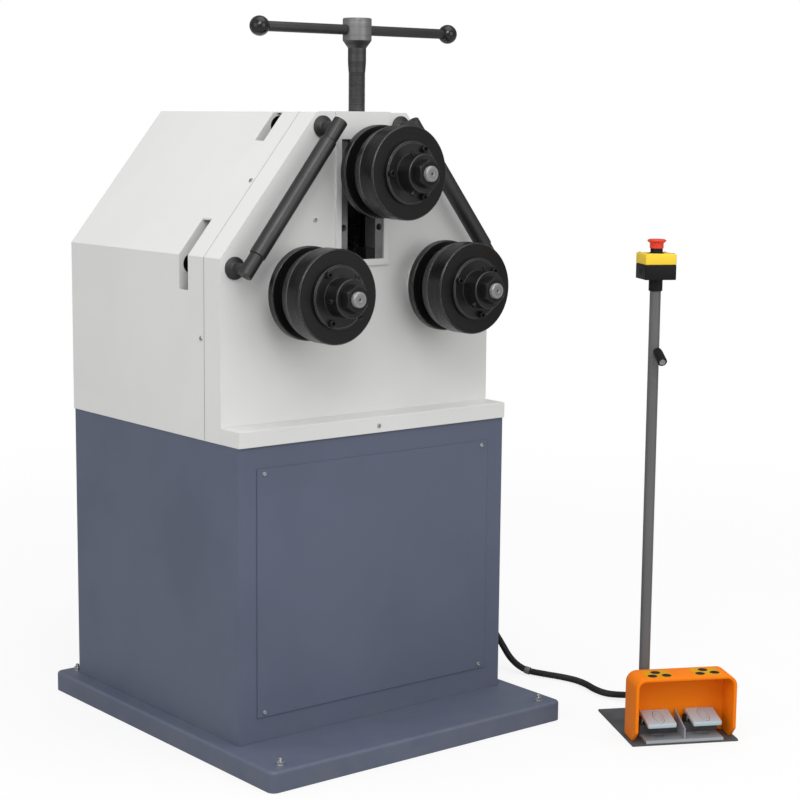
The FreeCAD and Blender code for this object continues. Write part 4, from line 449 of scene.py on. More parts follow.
PEDAL = Finish("cast_pedal", linear(186, 203, 212), linear(172, 190, 200), linear(222, 232, 238),
               Grain.PEEL, 520.0, 0.00012, (0.4, 0.54), metallic=0.1, edge=0.001, wear_and_highlight_share=0.6, even=0.5,
               dust=0.0)
PLATE_STEEL = Finish("dark_floor_plate", linear(84, 85, 87), linear(74, 75, 77), linear(130, 130, 131),
                     Grain.BRUSHED, 500.0, 0.00006, (0.45, 0.6), edge=0.0008, wear_and_highlight_share=0.5, dust=0.0,
                     specular=0.3)


def dress(finish: Finish, *names: str) -> None:
    """Give solids of the frame a finish.

    Args:
        finish: the finish to use.
        names: the solids' names.
    """
    for name in names:
        mesh = NODES[name].data
        mesh.materials.clear()
        mesh.materials.append(finish.material())
        LOG.info("%s: %s", name, finish.name)


def dress_faces(finish: Finish, name: str, picks: Callable[[Vector, Vector], bool]) -> None:
    """Give some faces of a dressed solid a second finish.

    Args:
        finish: the finish of the picked faces.
        name: the solid's name.
        picks: tells from a face's middle and its direction whether it is meant.
    """
    thing = NODES[name]
    thing.data.materials.append(finish.material())
    turn = thing.matrix_world.to_3x3()
    for one in thing.data.polygons:
        if picks(thing.matrix_world @ one.center, turn @ one.normal):
            one.material_index = len(thing.data.materials) - 1


# ------------------------------------------------------------------ mesh helpers


def aim(axis: Point, at: Point = (0, 0, 0), roll: float = 0.0) -> Matrix:
    """A frame whose Z points along an axis.

    Args:
        axis: where Z points.
        at: the frame's origin.
        roll: turn about that axis, in radians.

    Returns:
        The frame as a matrix.
    """
    turn = Vector((0, 0, 1)).rotation_difference(Vector(axis)).to_matrix().to_4x4()
    return Matrix.Translation(at) @ turn @ Matrix.Rotation(roll, 4, "Z")


def rounded(corners: Sequence[tuple], radius: float = 0.0006, steps: int = 3) -> list[tuple]:
    """Round the corners of an open outline.

    Args:
        corners: (across, up) points, each with its own radius as a third number if it differs.
        radius: radius of the corners that name none.
        steps: how many short sides stand for each corner.

    Returns:
        The rounded outline.
    """
    out: list[tuple] = [tuple(corners[0][:2])]
    for before, corner, after in zip(corners, corners[1:], corners[2:]):
        own = corner[2] if len(corner) > 2 else radius
        here = Vector(corner[:2])
        back, ahead = Vector(before[:2]) - here, Vector(after[:2]) - here
        if own <= 0 or corner[0] < 1e-9 or min(back.length, ahead.length) < 1e-9:
            out.append(tuple(here))
            continue
        half = back.angle(ahead) / 2
        reach = min(own / max(math.tan(half), 1e-3), 0.46 * back.length, 0.46 * ahead.length)
        enter, leave = here + back.normalized() * reach, here + ahead.normalized() * reach
        for k in range(steps + 1):
            share = k / steps
            spot = enter * (1 - share) ** 2 + here * 2 * share * (1 - share) + leave * share ** 2
            out.append(tuple(spot))
    out.append(tuple(corners[-1][:2]))
    return out


class Maker:
    """A mesh under construction, in metres, in its own frame."""

    def __init__(self) -> None:
        """Start empty, painting with the first finish."""
        self.mesh = bmesh.new()
        self.paint = 0

    def face(self, corners: Iterable[bmesh.types.BMVert]) -> None:
        """Add one face, unless it has fewer than three corners."""
        unique = list(dict.fromkeys(corners))
        if len(unique) > 2:
            self.mesh.faces.new(unique).material_index = self.paint

    def skin(self, rings: Sequence[list[bmesh.types.BMVert]], closed: bool = False) -> None:
        """Join neighbouring rings of points with faces, and the last to the first if closed."""
        for low, high in zip(rings, rings[1:] + (rings[:1] if closed else [])):
            steps = max(len(low), len(high))
            if steps == 1:
                continue
            for k in range(steps):
                after = (k + 1) % steps
                self.face((low[k % len(low)], low[after % len(low)],
                           high[after % len(high)], high[k % len(high)]))

    def lathe(self, rows: Sequence[tuple], steps: int = 96, place: Matrix = Matrix.Identity(4),
              closed: bool = False) -> None:
        """Stack rings about Z.

        Args:
            rows: (radius, height), and for a hexagon a third number, half its width across flats.
            steps: how many segments go round.
            place: where the stack stands.
            closed: whether the last row meets the first.
        """
        rings = []
        for row in rows:
            radius, height = row[:2]
            if radius < 1e-9:
                rings.append([self.mesh.verts.new(place @ Vector((0, 0, height)))])
                continue
            ring = []
            for k in range(steps):
                turn = 2 * math.pi * k / steps
                reach = radius
                if len(row) > 2:
                    to_flat = (turn + math.pi / 6) % (math.pi / 3) - math.pi / 6
                    reach = min(radius, row[2] / math.cos(to_flat))
                spot = Vector((reach * math.cos(turn), reach * math.sin(turn), height))
                ring.append(self.mesh.verts.new(place @ spot))
            rings.append(ring)
        self.skin(rings, closed)

    def block(self, low: Point, high: Point, edge: float = 0.0, steps: int = 3, upright: float = 0.0,
              place: Matrix = Matrix.Identity(4)) -> None:
        """Add a box between two corners.

        Args:
            low: lowest corner.
            high: highest corner.
            edge: radius of every edge, or of those left after the upright ones.
            steps: segments of a rounded edge.
            upright: radius of the four edges along Z.
            place: where the box's own frame lies.
        """
        part = Maker()
        bmesh.ops.create_cube(part.mesh, size=1)
        bmesh.ops.scale(part.mesh, vec=[high[k] - low[k] for k in range(3)], verts=part.mesh.verts)
        if upright:
            sides = [line for line in part.mesh.edges
                     if abs((line.verts[0].co - line.verts[1].co).normalized().z) > 0.9]
            bmesh.ops.bevel(part.mesh, geom=sides, offset=upright, segments=2 * steps, profile=0.5,
                            affect="EDGES")
        if edge:
            part.soften(edge, steps)
        middle = [(high[k] + low[k]) / 2 for k in range(3)]
        bmesh.ops.transform(part.mesh, matrix=place @ Matrix.Translation(middle), verts=part.mesh.verts)
        self.take(part)

    def take(self, part: "Maker") -> None:
        """Move another mesh's faces into this one, in the finish that is set."""
        for one in part.mesh.faces:
            one.material_index = self.paint
        holder = bpy.data.meshes.new("holder")
        part.mesh.to_mesh(holder)
        part.mesh.free()
        self.mesh.from_mesh(holder)
        bpy.data.meshes.remove(holder)

    def soften(self, width: float, steps: int = 2, angle: float = 32.0) -> None:
        """Round every edge that is sharper than an angle in degrees."""
        bmesh.ops.remove_doubles(self.mesh, verts=self.mesh.verts, dist=1e-7)
        self.mesh.normal_update()
        sharp = [line for line in self.mesh.edges
                 if len(line.link_faces) == 2 and line.calc_face_angle(0) > math.radians(angle)]
        bmesh.ops.bevel(self.mesh, geom=sharp, offset=width, segments=steps, profile=0.5, affect="EDGES",
                        clamp_overlap=True)

    def thread(self, radius: float, depth: float, pitch: float, low: float, high: float, steps: int = 48,
               rows: int = 8, place: Matrix = Matrix.Identity(4)) -> None:
        """Add a screw thread's surface about Z, fading out at its ends.

        Args:
            radius: outside radius.
            depth: depth of the groove.
            pitch: height of one turn.
            low: where the thread begins.
            high: where it ends.
            steps: segments round.
            rows: rings for each turn.
            place: where the screw stands.
        """
        count = max(2, int((high - low) / pitch * rows))
        rings = []
        for row in range(count + 1):
            height = low + (high - low) * row / count
            fade = min(1.0, (height - low) / pitch, (high - height) / pitch)
            ring = []
            for k in range(steps):
                phase = (height / pitch - k / steps) % 1.0
                ridge = min(1.0, max(0.0, (0.5 - abs(phase - 0.5)) * 6 - 0.9))
                reach, turn = radius - depth * ridge * fade, 2 * math.pi * k / steps
                spot = Vector((reach * math.cos(turn), reach * math.sin(turn), height))
                ring.append(self.mesh.verts.new(place @ spot))
            rings.append(ring)
        self.skin(rings)

    def sweep(self, path: Sequence[Vector], radius_at: Callable[[float], float], steps: int) -> None:
        """Carry a round section along a path, closed at both ends.

        Args:
            path: points close together.
            radius_at: radius at a distance from the path's start.
            steps: segments round.
        """
        rings, run = [], 0.0
        side = Vector((0, 0, 1))
        for k, here in enumerate(path):
            ahead = (path[min(k + 1, len(path) - 1)] - path[max(k - 1, 0)]).normalized()
            run += (here - path[k - 1]).length if k else 0.0
            side = side - ahead * side.dot(ahead)
            side = side.normalized() if side.length > 1e-6 else ahead.orthogonal().normalized()
            up, reach = ahead.cross(side), radius_at(run)
            turns = [2 * math.pi * j / steps for j in range(steps)]
            rings.append([self.mesh.verts.new(here + (side * math.cos(t) + up * math.sin(t)) * reach)
                          for t in turns])
        self.skin([[self.mesh.verts.new(path[0])]] + rings + [[self.mesh.verts.new(path[-1])]])

    def socket_screw(self, radius: float, height: float, place: Matrix, dome: float = 0.35) -> None:
        """Add a round screw head with a hexagon socket, standing on the frame's Z = 0."""
        flats, deep = radius * 0.42, height * 0.4
        rows = [(0, deep), (radius, deep, flats), (radius, height, flats), (flats * 1.32, height)]
        rows += rounded([(flats * 1.32, height), (radius * (1 - dome * 0.4), height, height * dome),
                         (radius, height * 0.35, height * dome), (radius, 0)], steps=4)[1:]
        self.lathe(rows, 36, place)

    def carve(self, tools: "Maker") -> None:
        """Cut another closed mesh out of this one, which is closed too."""
        holders = []
        for name, part in (("body", self), ("tools", tools)):
            bmesh.ops.remove_doubles(part.mesh, verts=part.mesh.verts, dist=1e-7)
            bmesh.ops.recalc_face_normals(part.mesh, faces=part.mesh.faces)
            holder = bpy.data.objects.new(name, bpy.data.meshes.new(name))
            part.mesh.to_mesh(holder.data)
            bpy.context.scene.collection.objects.link(holder)
            holders.append(holder)
        body, cutter = holders
        change = body.modifiers.new("carve", "BOOLEAN")
        change.operation, change.object, change.solver = "DIFFERENCE", cutter, "EXACT"
        result = bpy.data.meshes.new_from_object(body.evaluated_get(bpy.context.evaluated_depsgraph_get()))
        self.mesh.free()
        tools.mesh.free()
        self.mesh = bmesh.new()
        self.mesh.from_mesh(result)
        for holder in holders:
            mesh = holder.data
            bpy.data.objects.remove(holder)
            bpy.data.meshes.remove(mesh)
        bpy.data.meshes.remove(result)

    def done(self, name: str, sharp: float = 32.0) -> bpy.types.Mesh:
        """Turn it into a mesh, smooth but for edges past an angle in degrees."""
        bmesh.ops.remove_doubles(self.mesh, verts=self.mesh.verts, dist=1e-7)
        bmesh.ops.recalc_face_normals(self.mesh, faces=self.mesh.faces)
        mesh = bpy.data.meshes.new(name)
        self.mesh.to_mesh(mesh)
        self.mesh.free()
        mesh.shade_smooth()
        mesh.set_sharp_from_angle(angle=math.radians(sharp))
        return mesh


@dataclass(frozen=True)
class CapScrew:
    """Socket head cap screw along an axis.

    foot and top are where its head begins and ends, head is the head's radius, key is half the hexagon's
    width across flats, shank is the shank's radius, and end is where the shank ends.
    """

    foot: float
    top: float
    head: float
    key: float
    shank: float
    end: float

    def cut(self, made: Maker, place: Matrix) -> None:
        """Add the screw to a mesh.

        Args:
            made: the mesh to add to.
            place: the screw's frame.
        """
        deep, wide, chamfer = self.top - 0.6 * (self.top - self.foot), self.key * 1.16, 0.0006
        rows = [(0, deep - chamfer), (self.key, deep, self.key), (wide, deep, self.key),
                (wide, self.top - 0.0003, self.key), (wide, self.top), (self.head - chamfer, self.top),
                (self.head, self.top - chamfer), (self.head, self.foot), (self.shank, self.foot),
                (self.shank, self.end), (0, self.end)]
        made.lathe(rows, 48, place)


@dataclass
class Piece:
    """One dressed piece: what it is called, rides on, is made of and stands for."""

    name: str
    ride: Ride
    slot: str
    finishes: tuple[Finish, ...]
    replaces: tuple[str, ...] = ()
    place: Matrix = field(default_factory=lambda: Matrix.Identity(4))
    sharp: float = 32.0

    def add(self, made: Maker) -> bpy.types.Object:
        """Put a finished mesh in the scene.

        Args:
            made: the mesh, in the piece's own frame.

        Returns:
            The new object.
        """
        mesh = made.done(self.name, self.sharp)
        for finish in self.finishes:
            mesh.materials.append(finish.material())
        piece = bpy.data.objects.new(self.name, mesh)
        bpy.context.scene.collection.objects.link(piece)
        piece.matrix_world = self.place
        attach(piece, self.ride.value)
        if self.replaces:
            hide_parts(*self.replaces)
        LOG.info("piece %s on %s: %d faces", self.name, self.ride.value, len(mesh.polygons))
        return piece


# ------------------------------------------------------------------ machine


@dataclass
class Cabinet:
    """Base tray, cabinet sheet metal, inner frame and levelling screws."""

    stud_x: float = 0.319
    stud_y: float = 0.372
    top: float = 0.040
    stud_radius: float = 0.004
    stud_top: float = 0.054
    nut_flats: float = 0.0128

    def build(self) -> None:
        """Dress the solids and make the levelling screws."""
        dress(SLATE, "base_tray", "cabinet_shell", "front_panel")
        dress(PRIMER, "inner_frame")
        dress(BOX_GREY, "electrical_box")
        self.levelling_screws()

    def levelling_screws(self) -> None:
        """Threaded studs, each with a round foot, a washer and a nut."""
        made = Maker()
        top, stud = self.top, self.stud_radius
        half, corner = self.nut_flats / 2, self.nut_flats / math.sqrt(3)
        for side, end in ((-1, -1), (1, -1), (-1, 1), (1, 1)):
            place = Matrix.Translation((side * self.stud_x, end * self.stud_y, 0))
            turned = place @ Matrix.Rotation(0.4 * side + end, 4, "Z")
            made.lathe(rounded([(0, 0), (0.012, 0), (0.012, 0.005), (0, 0.005)], 0.0008), 48, place)
            tip = self.stud_top - 0.0008
            made.thread(stud, 0.0005, 0.00125, 0.005, tip, 24, 5, place)
            made.lathe([(stud, tip), (0.0032, self.stud_top), (0, self.stud_top)], 24, place)
            washer = [(stud, top), (0.0088, top), (0.0088, top + 0.0016), (stud, top + 0.0016)]
            made.lathe(rounded(washer, 0.0004), 48, place)
            low, high, cut = top + 0.0016, top + 0.008, 0.0009
            made.lathe([(stud, low), (half * 1.02, low, half), (corner, low + cut, half),
                        (corner, high - cut, half), (half * 1.02, high, half), (stud, high)], 48, turned)
        Piece("levelling_screw_set", Ride.MACHINE, "bright_steel", (ZINC,), ("levelling_screws",)).add(made)


@dataclass
class Housing:
    """White front plate, cover, ledge and slot frame, with the slide and drive behind them."""

    half: float = 0.3245
    shoulder: float = 0.9468
    top: float = 1.2134
    crown: float = 0.1081
    foot: float = 0.604
    seam_y: float = -0.1355
    seam: float = 0.0009
    slot_half: float = 0.0375
    slot_low: float = 0.9
    # Radius, depth and spots of the dark discs that are painted shade in the guide bores.
    plate_face: float = -0.1895
    shade_disc_radius: float = 0.0192
    shade_disc_y: float = -0.0505
    shade_disc_spots: tuple[tuple[float, float], ...] = ((0.2955, 0.9287), (0.0955, 1.1859))
    panel_screw_x: float = 0.266
    panel_face: float = -0.246
    panel_screws: tuple[float, float] = (0.096, 0.552)
    ledge_screw: Point = (0, -0.2485, 0.61702)
    plate_screw: tuple[float, float] = (0.110, 1.012)
    cover_screw_y: float = -0.1255
    cover_screw: float = 0.7955
    slope_screw: float = 0.52
    gib_x: float = 0.0426
    gib_face: float = -0.1735
    gib_screws: tuple[float, float] = (0.995, 1.085)

    def build(self) -> None:
        """Dress the solids, then make the painted shade in the seam and in the guide bores, and the small
        screws.
        """
        dress(WHITE, "front_plate", "front_ledge", "slot_frame", "rear_cover")
        dress(GIB, "slide_gibs")
        dress(SLIDE, "slide_block", "stop_block")
        dress(ZINC, "slide_bearings")
        dress(GROUND, "roll_bearings", "drive_pinion", "drive_gear_left", "drive_gear_right")
        dress(CASTING, "gearbox", "motor")
        # The slot's side walls get the near-black finish: painted shade inside the slot.
        dress_faces(SHADE_BLACK, "front_plate", self.in_slot)
        dress_faces(WHITE, "roll_bearings", lambda spot, way: spot.y < self.plate_face + 0.0002)
        self.seam_strip()
        self.bore_shade_discs()
        self.screws()

    def in_slot(self, spot: Vector, way: Vector) -> bool:
        """Whether a face of the front plate is a wall of the slide's slot."""
        return abs(spot.x) < self.slot_half and spot.z > self.slot_low and abs(way.y) < 0.5

    def seam_strip(self) -> None:
        """Thin dark strip between the front plate and the cover: painted shade of the seam."""
        made = Maker()
        lift = 0.00008
        outline = [(self.half + lift, self.foot + 0.001), (self.half + lift, self.shoulder),
                   (self.crown, self.top + lift), (-self.crown, self.top + lift),
                   (-self.half - lift, self.shoulder), (-self.half - lift, self.foot + 0.001)]
        outline = rounded(outline, 0.0008, 2)
        rows = []
        for across, up in outline:
            inner = (across * (1 - 0.002), up - 0.0004)
            ring = [(across, self.seam_y - self.seam / 2, up), (across, self.seam_y + self.seam / 2, up),
                    (inner[0], self.seam_y + self.seam / 2, inner[1]),
                    (inner[0], self.seam_y - self.seam / 2, inner[1])]
            rows.append([made.mesh.verts.new(spot) for spot in ring])
        made.skin(rows)
        made.face(rows[0])
        made.face(rows[-1])
        # The black strip is painted shade in the seam.
        Piece("cover_seam_shade_strip", Ride.MACHINE, "black_plastic", (RUBBER,)).add(made)

    def bore_shade_discs(self) -> None:
        """Dished dark discs behind each guide nut on the cover's inner walls: painted shade in the bores."""
        made, rim = Maker(), self.shade_disc_radius
        for across, up in self.shade_disc_spots:
            for side in (-1, 1):
                made.lathe(rounded([(0, 0.0003), (rim - 0.0022, 0.0003), (rim - 0.0016, 0.0008, 0.0002),
                                    (rim, 0.0008, 0.0003), (rim, 0)], 0.0001, 2) + [(0, 0)], 56,
                           aim((0, -1, 0), (side * across, self.shade_disc_y, up)))
        # Dark discs that stand for the shade in the guide bores.
        Piece("guide_bore_shade_discs", Ride.MACHINE, "black_plastic", (SHADE_BLACK,)).add(made)

    def screw_spots(self) -> list[tuple[Point, Point]]:
        """Where each button-head screw sits, and which way it faces."""
        front, sides = (0, -1, 0), (-1, 1)
        spots = [((side * self.panel_screw_x, self.panel_face, up), front)
                 for side in sides for up in self.panel_screws]
        spots += [(self.ledge_screw, front)]
        across, up = self.plate_screw
        spots += [((side * across, self.plate_face, up), front) for side in sides]
        spots += [((side * self.half, self.cover_screw_y, self.cover_screw), (side, 0, 0)) for side in sides]
        across, rise = self.half - self.crown, self.top - self.shoulder
        for side in sides:
            spot = (side * (self.half - self.slope_screw * across), self.cover_screw_y,
                    self.shoulder + self.slope_screw * rise)
            spots.append((spot, tuple(Vector((side * rise, 0, across)).normalized())))
        return spots

    def screws(self) -> None:
        """Button-head screws of the panel, ledge, plate and cover, and the gib screws."""
        bright, head, tall = Maker(), 0.0045, 0.0022
        for k, (spot, way) in enumerate(self.screw_spots()):
            bright.socket_screw(head, tall, aim(way, spot, 0.7 * k))
            bright.lathe([(0.0022, 0), (0.0022, -0.009), (0, -0.009)], 24, aim(way, spot))
        Piece("button_screws", Ride.MACHINE, "bright_steel", (ZINC,), ("machine_screws",)).add(bright)
        dark = Maker()
        for side in (-1, 1):
            for up in self.gib_screws:
                place = aim((0, -1, 0), (side * self.gib_x, self.gib_face, up), up)
                dark.socket_screw(0.0064, 0.0064, place, 0.12)
                dark.lathe([(0.0039, 0), (0.0039, -0.030), (0, -0.030)], 24, place)
        Piece("gib_screws", Ride.MACHINE, "black_steel", (BLACK_BAR,)).add(dark)


@dataclass
class Roll:
    """One roll: shaft, two discs, hub flange with its screws, and the shaft nut."""

    name: str
    ride: Ride
    x: float
    z: float
    screw_turn: float
    shaft_back: float
    collar_back: float
    disc: float = 0.088
    start: float = 0.236
    spacer_start: float = 0.2525
    taper_start: float = 0.275
    rim_start: float = 0.296
    flange_start: float = 0.335
    boss_start: float = 0.342
    shoulder: float = 0.364
    lock: float = 0.369
    nut_start: float = 0.378
    nut_end: float = 0.395
    shaft_end: float = 0.4015
    flange: float = 0.0595
    boss: float = 0.036
    spacer: float = 0.060
    bore: float = 0.02505
    journal: float = 0.025
    collar: float = 0.032
    thread: float = 0.01475
    circle: float = 0.051
    cap: float = 0.0065
    cap_tall: float = 0.0085
    screw_hole: float = 0.00405
    lock_hole: float = 0.0031
    lock_end: float = 0.020
    nut_flats: float = 0.046

    def build(self) -> None:
        """Make every piece of the roll."""
        self.place = aim((0, -1, 0), (self.x, 0, self.z))
        self.shaft()
        self.discs()
        self.hub()
        self.hub_screws()
        self.nut()

    def add(self, made: Maker, part: str, slot: str, *finishes: Finish, sharp: float = 32.0) -> None:
        """Add one piece that stands for the solid of the same name."""
        Piece(f"{self.name}_{part}_turned", self.ride, slot, finishes, (f"{self.name}_{part}",), self.place,
              sharp).add(made)

    def shaft(self) -> None:
        """Journal, collar and threaded end with a centre hole."""
        made = Maker()
        made.lathe(rounded([(0, self.shaft_back), (self.journal, self.shaft_back, 0.002),
                            (self.journal, self.collar_back, 0.0006), (self.collar, self.collar_back, 0.0012),
                            (self.collar, self.start, 0.0008), (self.journal, self.start),
                            (self.journal, self.shoulder - 0.0003, 0.001),
                            (self.thread, self.shoulder - 0.0003)], 0.0006), 72)
        made.thread(self.thread, 0.0011, 0.002, self.shoulder - 0.0003, self.shaft_end - 0.002, 72, 6)
        end, hole = self.shaft_end, 0.0023
        made.lathe(rounded([(self.thread, end - 0.002), (self.thread - 0.0002, end - 0.0016),
                            (self.thread - 0.0016, end, 0.0004), (hole + 0.0012, end, 0.0003),
                            (hole, end - 0.0014, 0.0003), (hole, end - 0.0062), (0, end - 0.0075)],
                           0.0004), 72)
        self.add(made, "shaft", "bright_steel", SHAFT_END, sharp=40)

    def discs(self) -> None:
        """Back disc with its spacer, and the front disc with its tapered band."""
        back, disc, bore = Maker(), self.disc, self.bore
        back.lathe(rounded([(bore, self.start, 0.0008), (disc - 0.003, self.start, 0),
                            (disc, self.start + 0.003, 0), (disc, self.spacer_start - 0.0015, 0),
                            (disc - 0.0015, self.spacer_start, 0), (self.spacer, self.spacer_start, 0.002),
                            (self.spacer, self.taper_start - 0.0003, 0.0005),
                            (bore, self.taper_start - 0.0003)], 0.0006, 4), 144, closed=True)
        self.add(back, "back_disc", "black_steel", BLACK, sharp=12)
        front, rim = Maker(), self.rim_start
        front.lathe(rounded([(bore, self.taper_start), (disc - 0.0056, self.taper_start, 0),
                             (disc - 0.0049, self.taper_start + 0.0006, 0), (disc, rim - 0.0005, 0),
                             (disc - 0.0007, rim + 0.0002, 0), (disc - 0.0007, rim + 0.0005, 0),
                             (disc, rim + 0.0012, 0), (disc, self.flange_start - 0.0016, 0),
                             (disc - 0.0016, self.flange_start, 0), (bore, self.flange_start)], 0, 4), 144,
                    closed=True)
        self.add(front, "front_disc", "black_steel", BLACK, sharp=12)

    def spots(self, reach: float, extra: float = 0.0) -> list[Vector]:
        """Three directions round the hub, as points at a distance from its axis."""
        turns = [math.radians(self.screw_turn + extra + step) for step in (0, 120, 240)]
        return [Vector((reach * math.cos(turn), reach * math.sin(turn), 0)) for turn in turns]

    def hub(self) -> None:
        """Flange with screw holes, and the boss, closed in front round the thread."""
        made, low, top, end = Maker(), self.flange_start, self.boss_start, self.nut_start
        mouth, groove = self.thread + RUNNING_GAP, self.flange - 0.0036
        made.lathe(rounded([(self.bore, low), (self.flange, low), (self.flange, top - 0.001),
                            (self.flange - 0.001, top),
                            (groove + 0.0006, top), (groove, top - 0.0006), (groove - 0.0006, top),
                            (self.boss, top, 0.0018), (self.boss, end - 0.0012), (self.boss - 0.0012, end),
                            (mouth + 0.001, end), (mouth, end - 0.001), (mouth, self.shoulder),
                            (self.bore, self.shoulder)], 0, 4), 144, closed=True)
        tools = Maker()
        holes = [(self.screw_hole, low - 0.001, top + 0.001, Matrix.Translation(spot))
                 for spot in self.spots(self.circle)]
        holes += [(self.lock_hole, self.lock_end - 0.0001, self.boss + 0.001,
                   aim(tuple(spot), (0, 0, self.lock))) for spot in self.spots(1, 60)]
        for radius, start, stop, place in holes:
            tools.lathe([(0, start), (radius, start), (radius, stop), (0, stop)], 32, place)
        made.carve(tools)
        self.add(made, "hub", "black_steel", HUB_BLACK, sharp=20)

    def hub_screws(self) -> None:
        """Three cap screws standing on the flange, and three lock screws set into the boss's side."""
        made, foot = Maker(), self.boss_start
        flange_screw = CapScrew(foot, foot + self.cap_tall, self.cap, key=0.00325, shank=0.004,
                                end=self.flange_start - 0.016)
        lock_screw = CapScrew(foot=0.0415, top=0.0455, head=0.0046, key=0.002, shank=0.003, end=self.lock_end)
        for spot in self.spots(self.circle):
            flange_screw.cut(made, Matrix.Translation(spot) @ Matrix.Rotation(spot.x * 40, 4, "Z"))
        for spot in self.spots(1, 60):
            lock_screw.cut(made, aim(tuple(spot), (0, 0, self.lock)))
        self.add(made, "hub_screws", "black_steel", SCREW_BLACK)

    def nut(self) -> None:
        """Hexagon nut with a cone-shaped chamfer in front and a chamfered thread mouth."""
        made, low, high, half = Maker(), self.nut_start, self.nut_end, self.nut_flats / 2
        corner, ring = self.nut_flats / math.sqrt(3), half - 0.001
        bore = self.thread + RUNNING_GAP
        rows = [(bore, low), (half * 0.98, low), (corner, low, half)]
        for share in (1.0, 0.75, 0.5, 0.25, 0.0):
            rows.append((ring + (corner - ring) * share, high - 0.0027 * share, half))
        rows += [(bore + 0.0014, high), (bore, high - 0.0014)]
        made.lathe(rows, 96, closed=True)
        self.add(made, "nut", "black_steel", BLACK_NUT, sharp=24)


@dataclass
class Rolls:
    """Upper roll and the two driven lower rolls."""

    lower_x: float = 0.1645
    lower_z: float = 0.8805
    upper_z: float = 1.1027

    def build(self) -> None:
        """Build each roll at its own place."""
        for roll in (
            Roll("upper", Ride.UPPER, 0, self.upper_z, 60, 0.0952, 0.1883),
            Roll("lower_left", Ride.LEFT_ROLL, -self.lower_x, self.lower_z, 5, -0.100, 0.1998),
            Roll("lower_right", Ride.RIGHT_ROLL, self.lower_x, self.lower_z, 40, -0.100, 0.1998),
        ):
            roll.build()


@dataclass
class LiftScrew:
    """Lift screw with its thread, boss, handle bar and ball knobs."""

    y: float = -0.172
    slide_top: float = 1.1547
    thread_low: float = 1.156
    thread_high: float = 1.290
    cone: float = 1.334
    boss: float = 1.348
    top: float = 1.390
    bar_z: float = 1.3676
    bar_radius: float = 0.0095
    ball_x: float = 0.2244
    ball: float = 0.0185
    ball_mouth: float = 0.0122
    socket: float = 0.012
    radius: float = 0.016
    stem: float = 0.0173
    pintle: float = 0.010
    groove: float = 1.3068
    boss_radius: float = 0.0275

    def build(self) -> None:
        """Make the screw, the bar and both knobs."""
        self.screw()
        self.handle()

    def screw(self) -> None:
        """Pintle, thread, stem, cone and boss in one turned piece."""
        made, radius, pintle, boss = Maker(), self.radius, self.pintle, self.boss_radius
        low, stem, groove = self.slide_top, self.stem, self.groove
        made.lathe(rounded([(0, low - 0.020), (pintle, low - 0.020, 0.001), (pintle, low + 0.0003),
                            (radius, low + 0.0003, 0.0006), (radius, self.thread_low)], 0.0004), 64)
        made.thread(radius, 0.0008, 0.003, self.thread_low, self.thread_high, 64, 8)
        made.lathe(rounded([(radius, self.thread_high), (stem, self.thread_high + 0.0173, 0.004),
                            (stem, groove, 0.0002), (stem - 0.0003, groove + 0.0004, 0.0002),
                            (stem - 0.0003, groove + 0.0012, 0.0002), (stem, groove + 0.0016, 0.0002),
                            (stem, self.cone, 0.0015), (boss, self.boss, 0.0008)], 0.0004, 4), 96)
        made.paint = 1
        made.lathe(rounded([(boss, self.boss), (boss, self.top, 0.0028), (0.006, self.top, 0.0006),
                            (0.0048, self.top - 0.0012), (0, self.top - 0.0030)], 0.0006, 5), 96)
        place = Matrix.Translation((0, self.y, 0))
        Piece("lift_screw_turned", Ride.SCREW, "black_steel", (BLACK_STEM, BOSS_STEEL), ("lift_screw",),
              place, 25).add(made)

    def handle(self) -> None:
        """Cross bar with a ball knob screwed on each end."""
        reach, radius = self.ball_x - self.ball + self.socket, self.bar_radius
        bar, knobs = Maker(), Maker()
        place = aim((1, 0, 0), (0, self.y, self.bar_z))
        bar.lathe(rounded([(0, -reach), (radius, -reach), (radius, reach), (0, reach)], 0.0008), 48)
        Piece("handle_cross_bar", Ride.SCREW, "black_steel", (BLACK_BAR,), ("handle_bar",), place).add(bar)
        for side in (-1, 1):
            mouth = radius + RUNNING_GAP
            start = math.asin(self.ball_mouth / self.ball)
            turns = [start + (math.pi - start) * k / 40 for k in range(41)]
            curve = [(self.ball * math.sin(turn), -self.ball * math.cos(turn)) for turn in turns]
            rows = [(mouth, curve[0][1] + 0.001), (mouth + 0.0008, curve[0][1] - 0.0004)] + curve[:-1]
            rows.append((0, self.ball))
            knobs.lathe(rows, 64, aim((side, 0, 0), (side * self.ball_x, self.y, self.bar_z)))
        Piece("handle_ball_knobs", Ride.SCREW, "black_plastic", (BALL,), ("handle_balls",)).add(knobs)


